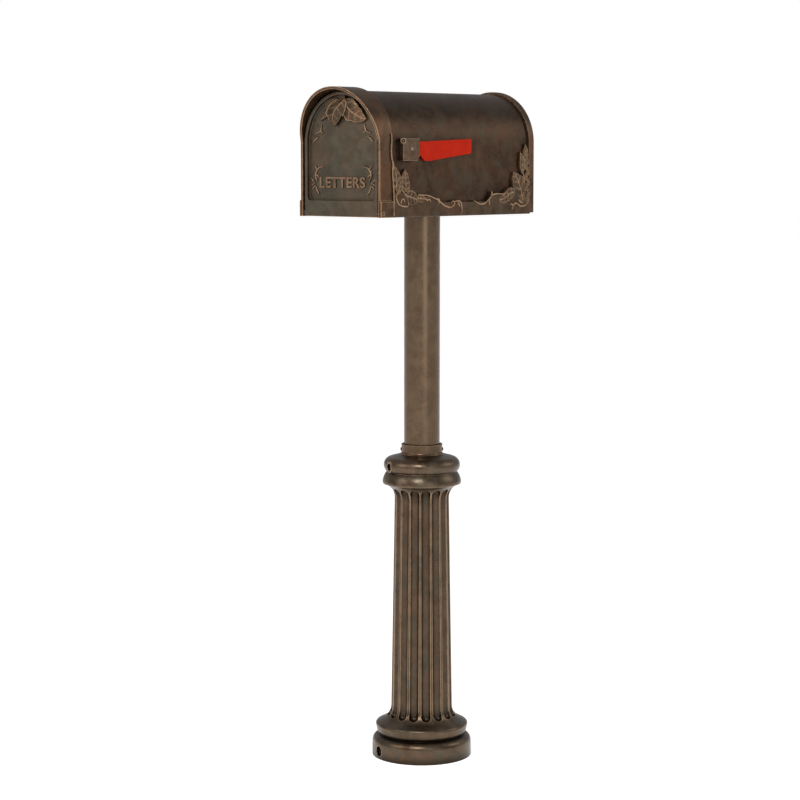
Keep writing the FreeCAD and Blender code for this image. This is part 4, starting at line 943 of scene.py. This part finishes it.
wordPiece = finishPiece(bm, "doorWord", "door", "leaf_finish")
softener = wordPiece.modifiers.new("softEdge", "BEVEL")
softener.width = wordLook["softEdge"]
softener.segments = 2
softener.limit_method = "ANGLE"
print("door ornament made")


def around(azimuth, rise, reach):
    # a place on a circle round the object; azimuth 0 is in front of the door
    turn = math.radians(azimuth)
    return (math.sin(turn) * reach, -math.cos(turn) * reach, rise)


# floor, lights and camera; a light's place is (azimuth, rise, reach)
studio = {
    "floorReach": 60.0,
    "floorGlow": 0.64,
    "floorCells": 12,
    "floorRough": 0.9,
    "floorSpecular": 0.1,
    "floorNoise": (3.0, 3.0, 0.5),
    "floorTones": ((0.86, 0.86, 0.86), (0.88, 0.88, 0.88)),
    "white": (1.0, 1.0, 1.0, 1.0),
    "camera": (42.0, 1.282, 4.772),
    "aim": (-0.035, -0.031, 0.769),
    "lens": 101.25,
    "sensor": 36.0,
    "backdrop": 1.0,
    "fill": 0.41,
    "lights": {
        "doorLight": {"place": (-20, 2.4, 3.4), "aim": (0.0, 0.0, 1.0), "size": 1.5, "power": 26.0},
        "keyLight": {"place": (30, 3.0, 3.4), "aim": (0.0, 0.0, 0.6), "size": 0.6, "power": 66.0},
        "lowLight": {"place": (62, 1.25, 3.0), "aim": (-0.05, -0.2, 1.25), "size": 1.2, "power": 9.0},
        "sideLight": {"place": (135, 2.6, 3.6), "aim": (0.0, 0.0, 0.8), "size": 1.6, "power": 22.0},
    },
}


def aimFrom(item, spot, aim):
    item.location = spot
    item.rotation_euler = (Vector(aim) - Vector(spot)).to_track_quat("-Z", "Y").to_euler()
    bpy.context.scene.collection.objects.link(item)


bm = bmesh.new()
bmesh.ops.create_grid(bm, x_segments=studio["floorCells"], y_segments=studio["floorCells"],
                      size=studio["floorReach"])
mesh = bpy.data.meshes.new("floor")
bm.to_mesh(mesh)
bm.free()
floor = bpy.data.objects.new("floor", mesh)
bpy.context.scene.collection.objects.link(floor)
material, tree, shader, where = newMaterial("pale_floor")
paper = noiseValue(tree, where, *studio["floorNoise"])
tree.links.new(blendColour(tree, paper, *studio["floorTones"]), shader.inputs["Base Color"])
shader.inputs["Roughness"].default_value = studio["floorRough"]
shader.inputs["Specular IOR Level"].default_value = studio["floorSpecular"]
shader.inputs["Emission Color"].default_value = studio["white"]
shader.inputs["Emission Strength"].default_value = studio["floorGlow"]
floor.data.materials.append(material)

world = bpy.data.worlds.new("studio")
bpy.context.scene.world = world
world.use_nodes = True
tree = world.node_tree
background = tree.nodes["Background"]
background.inputs["Color"].default_value = studio["white"]
seen = addNode(tree, "LightPath").outputs["Is Camera Ray"]
strength = addNode(tree, "MapRange")
tree.links.new(seen, strength.inputs["Value"])
strength.inputs["To Min"].default_value = studio["fill"]
strength.inputs["To Max"].default_value = studio["backdrop"]
tree.links.new(strength.outputs["Result"], background.inputs["Strength"])

for name, look in studio["lights"].items():
    light = bpy.data.lights.new(name, "AREA")
    light.energy = look["power"]
    light.size = look["size"]
    aimFrom(bpy.data.objects.new(name, light), around(*look["place"]), look["aim"])

cameraData = bpy.data.cameras.new("camera")
cameraData.lens = studio["lens"]
cameraData.sensor_width = studio["sensor"]
cameraData.dof.use_dof = False
camera = bpy.data.objects.new("camera", cameraData)
aimFrom(camera, around(*studio["camera"]), studio["aim"])
bpy.context.scene.camera = camera
bpy.context.scene.view_settings.view_transform = "Standard"
print("studio set")
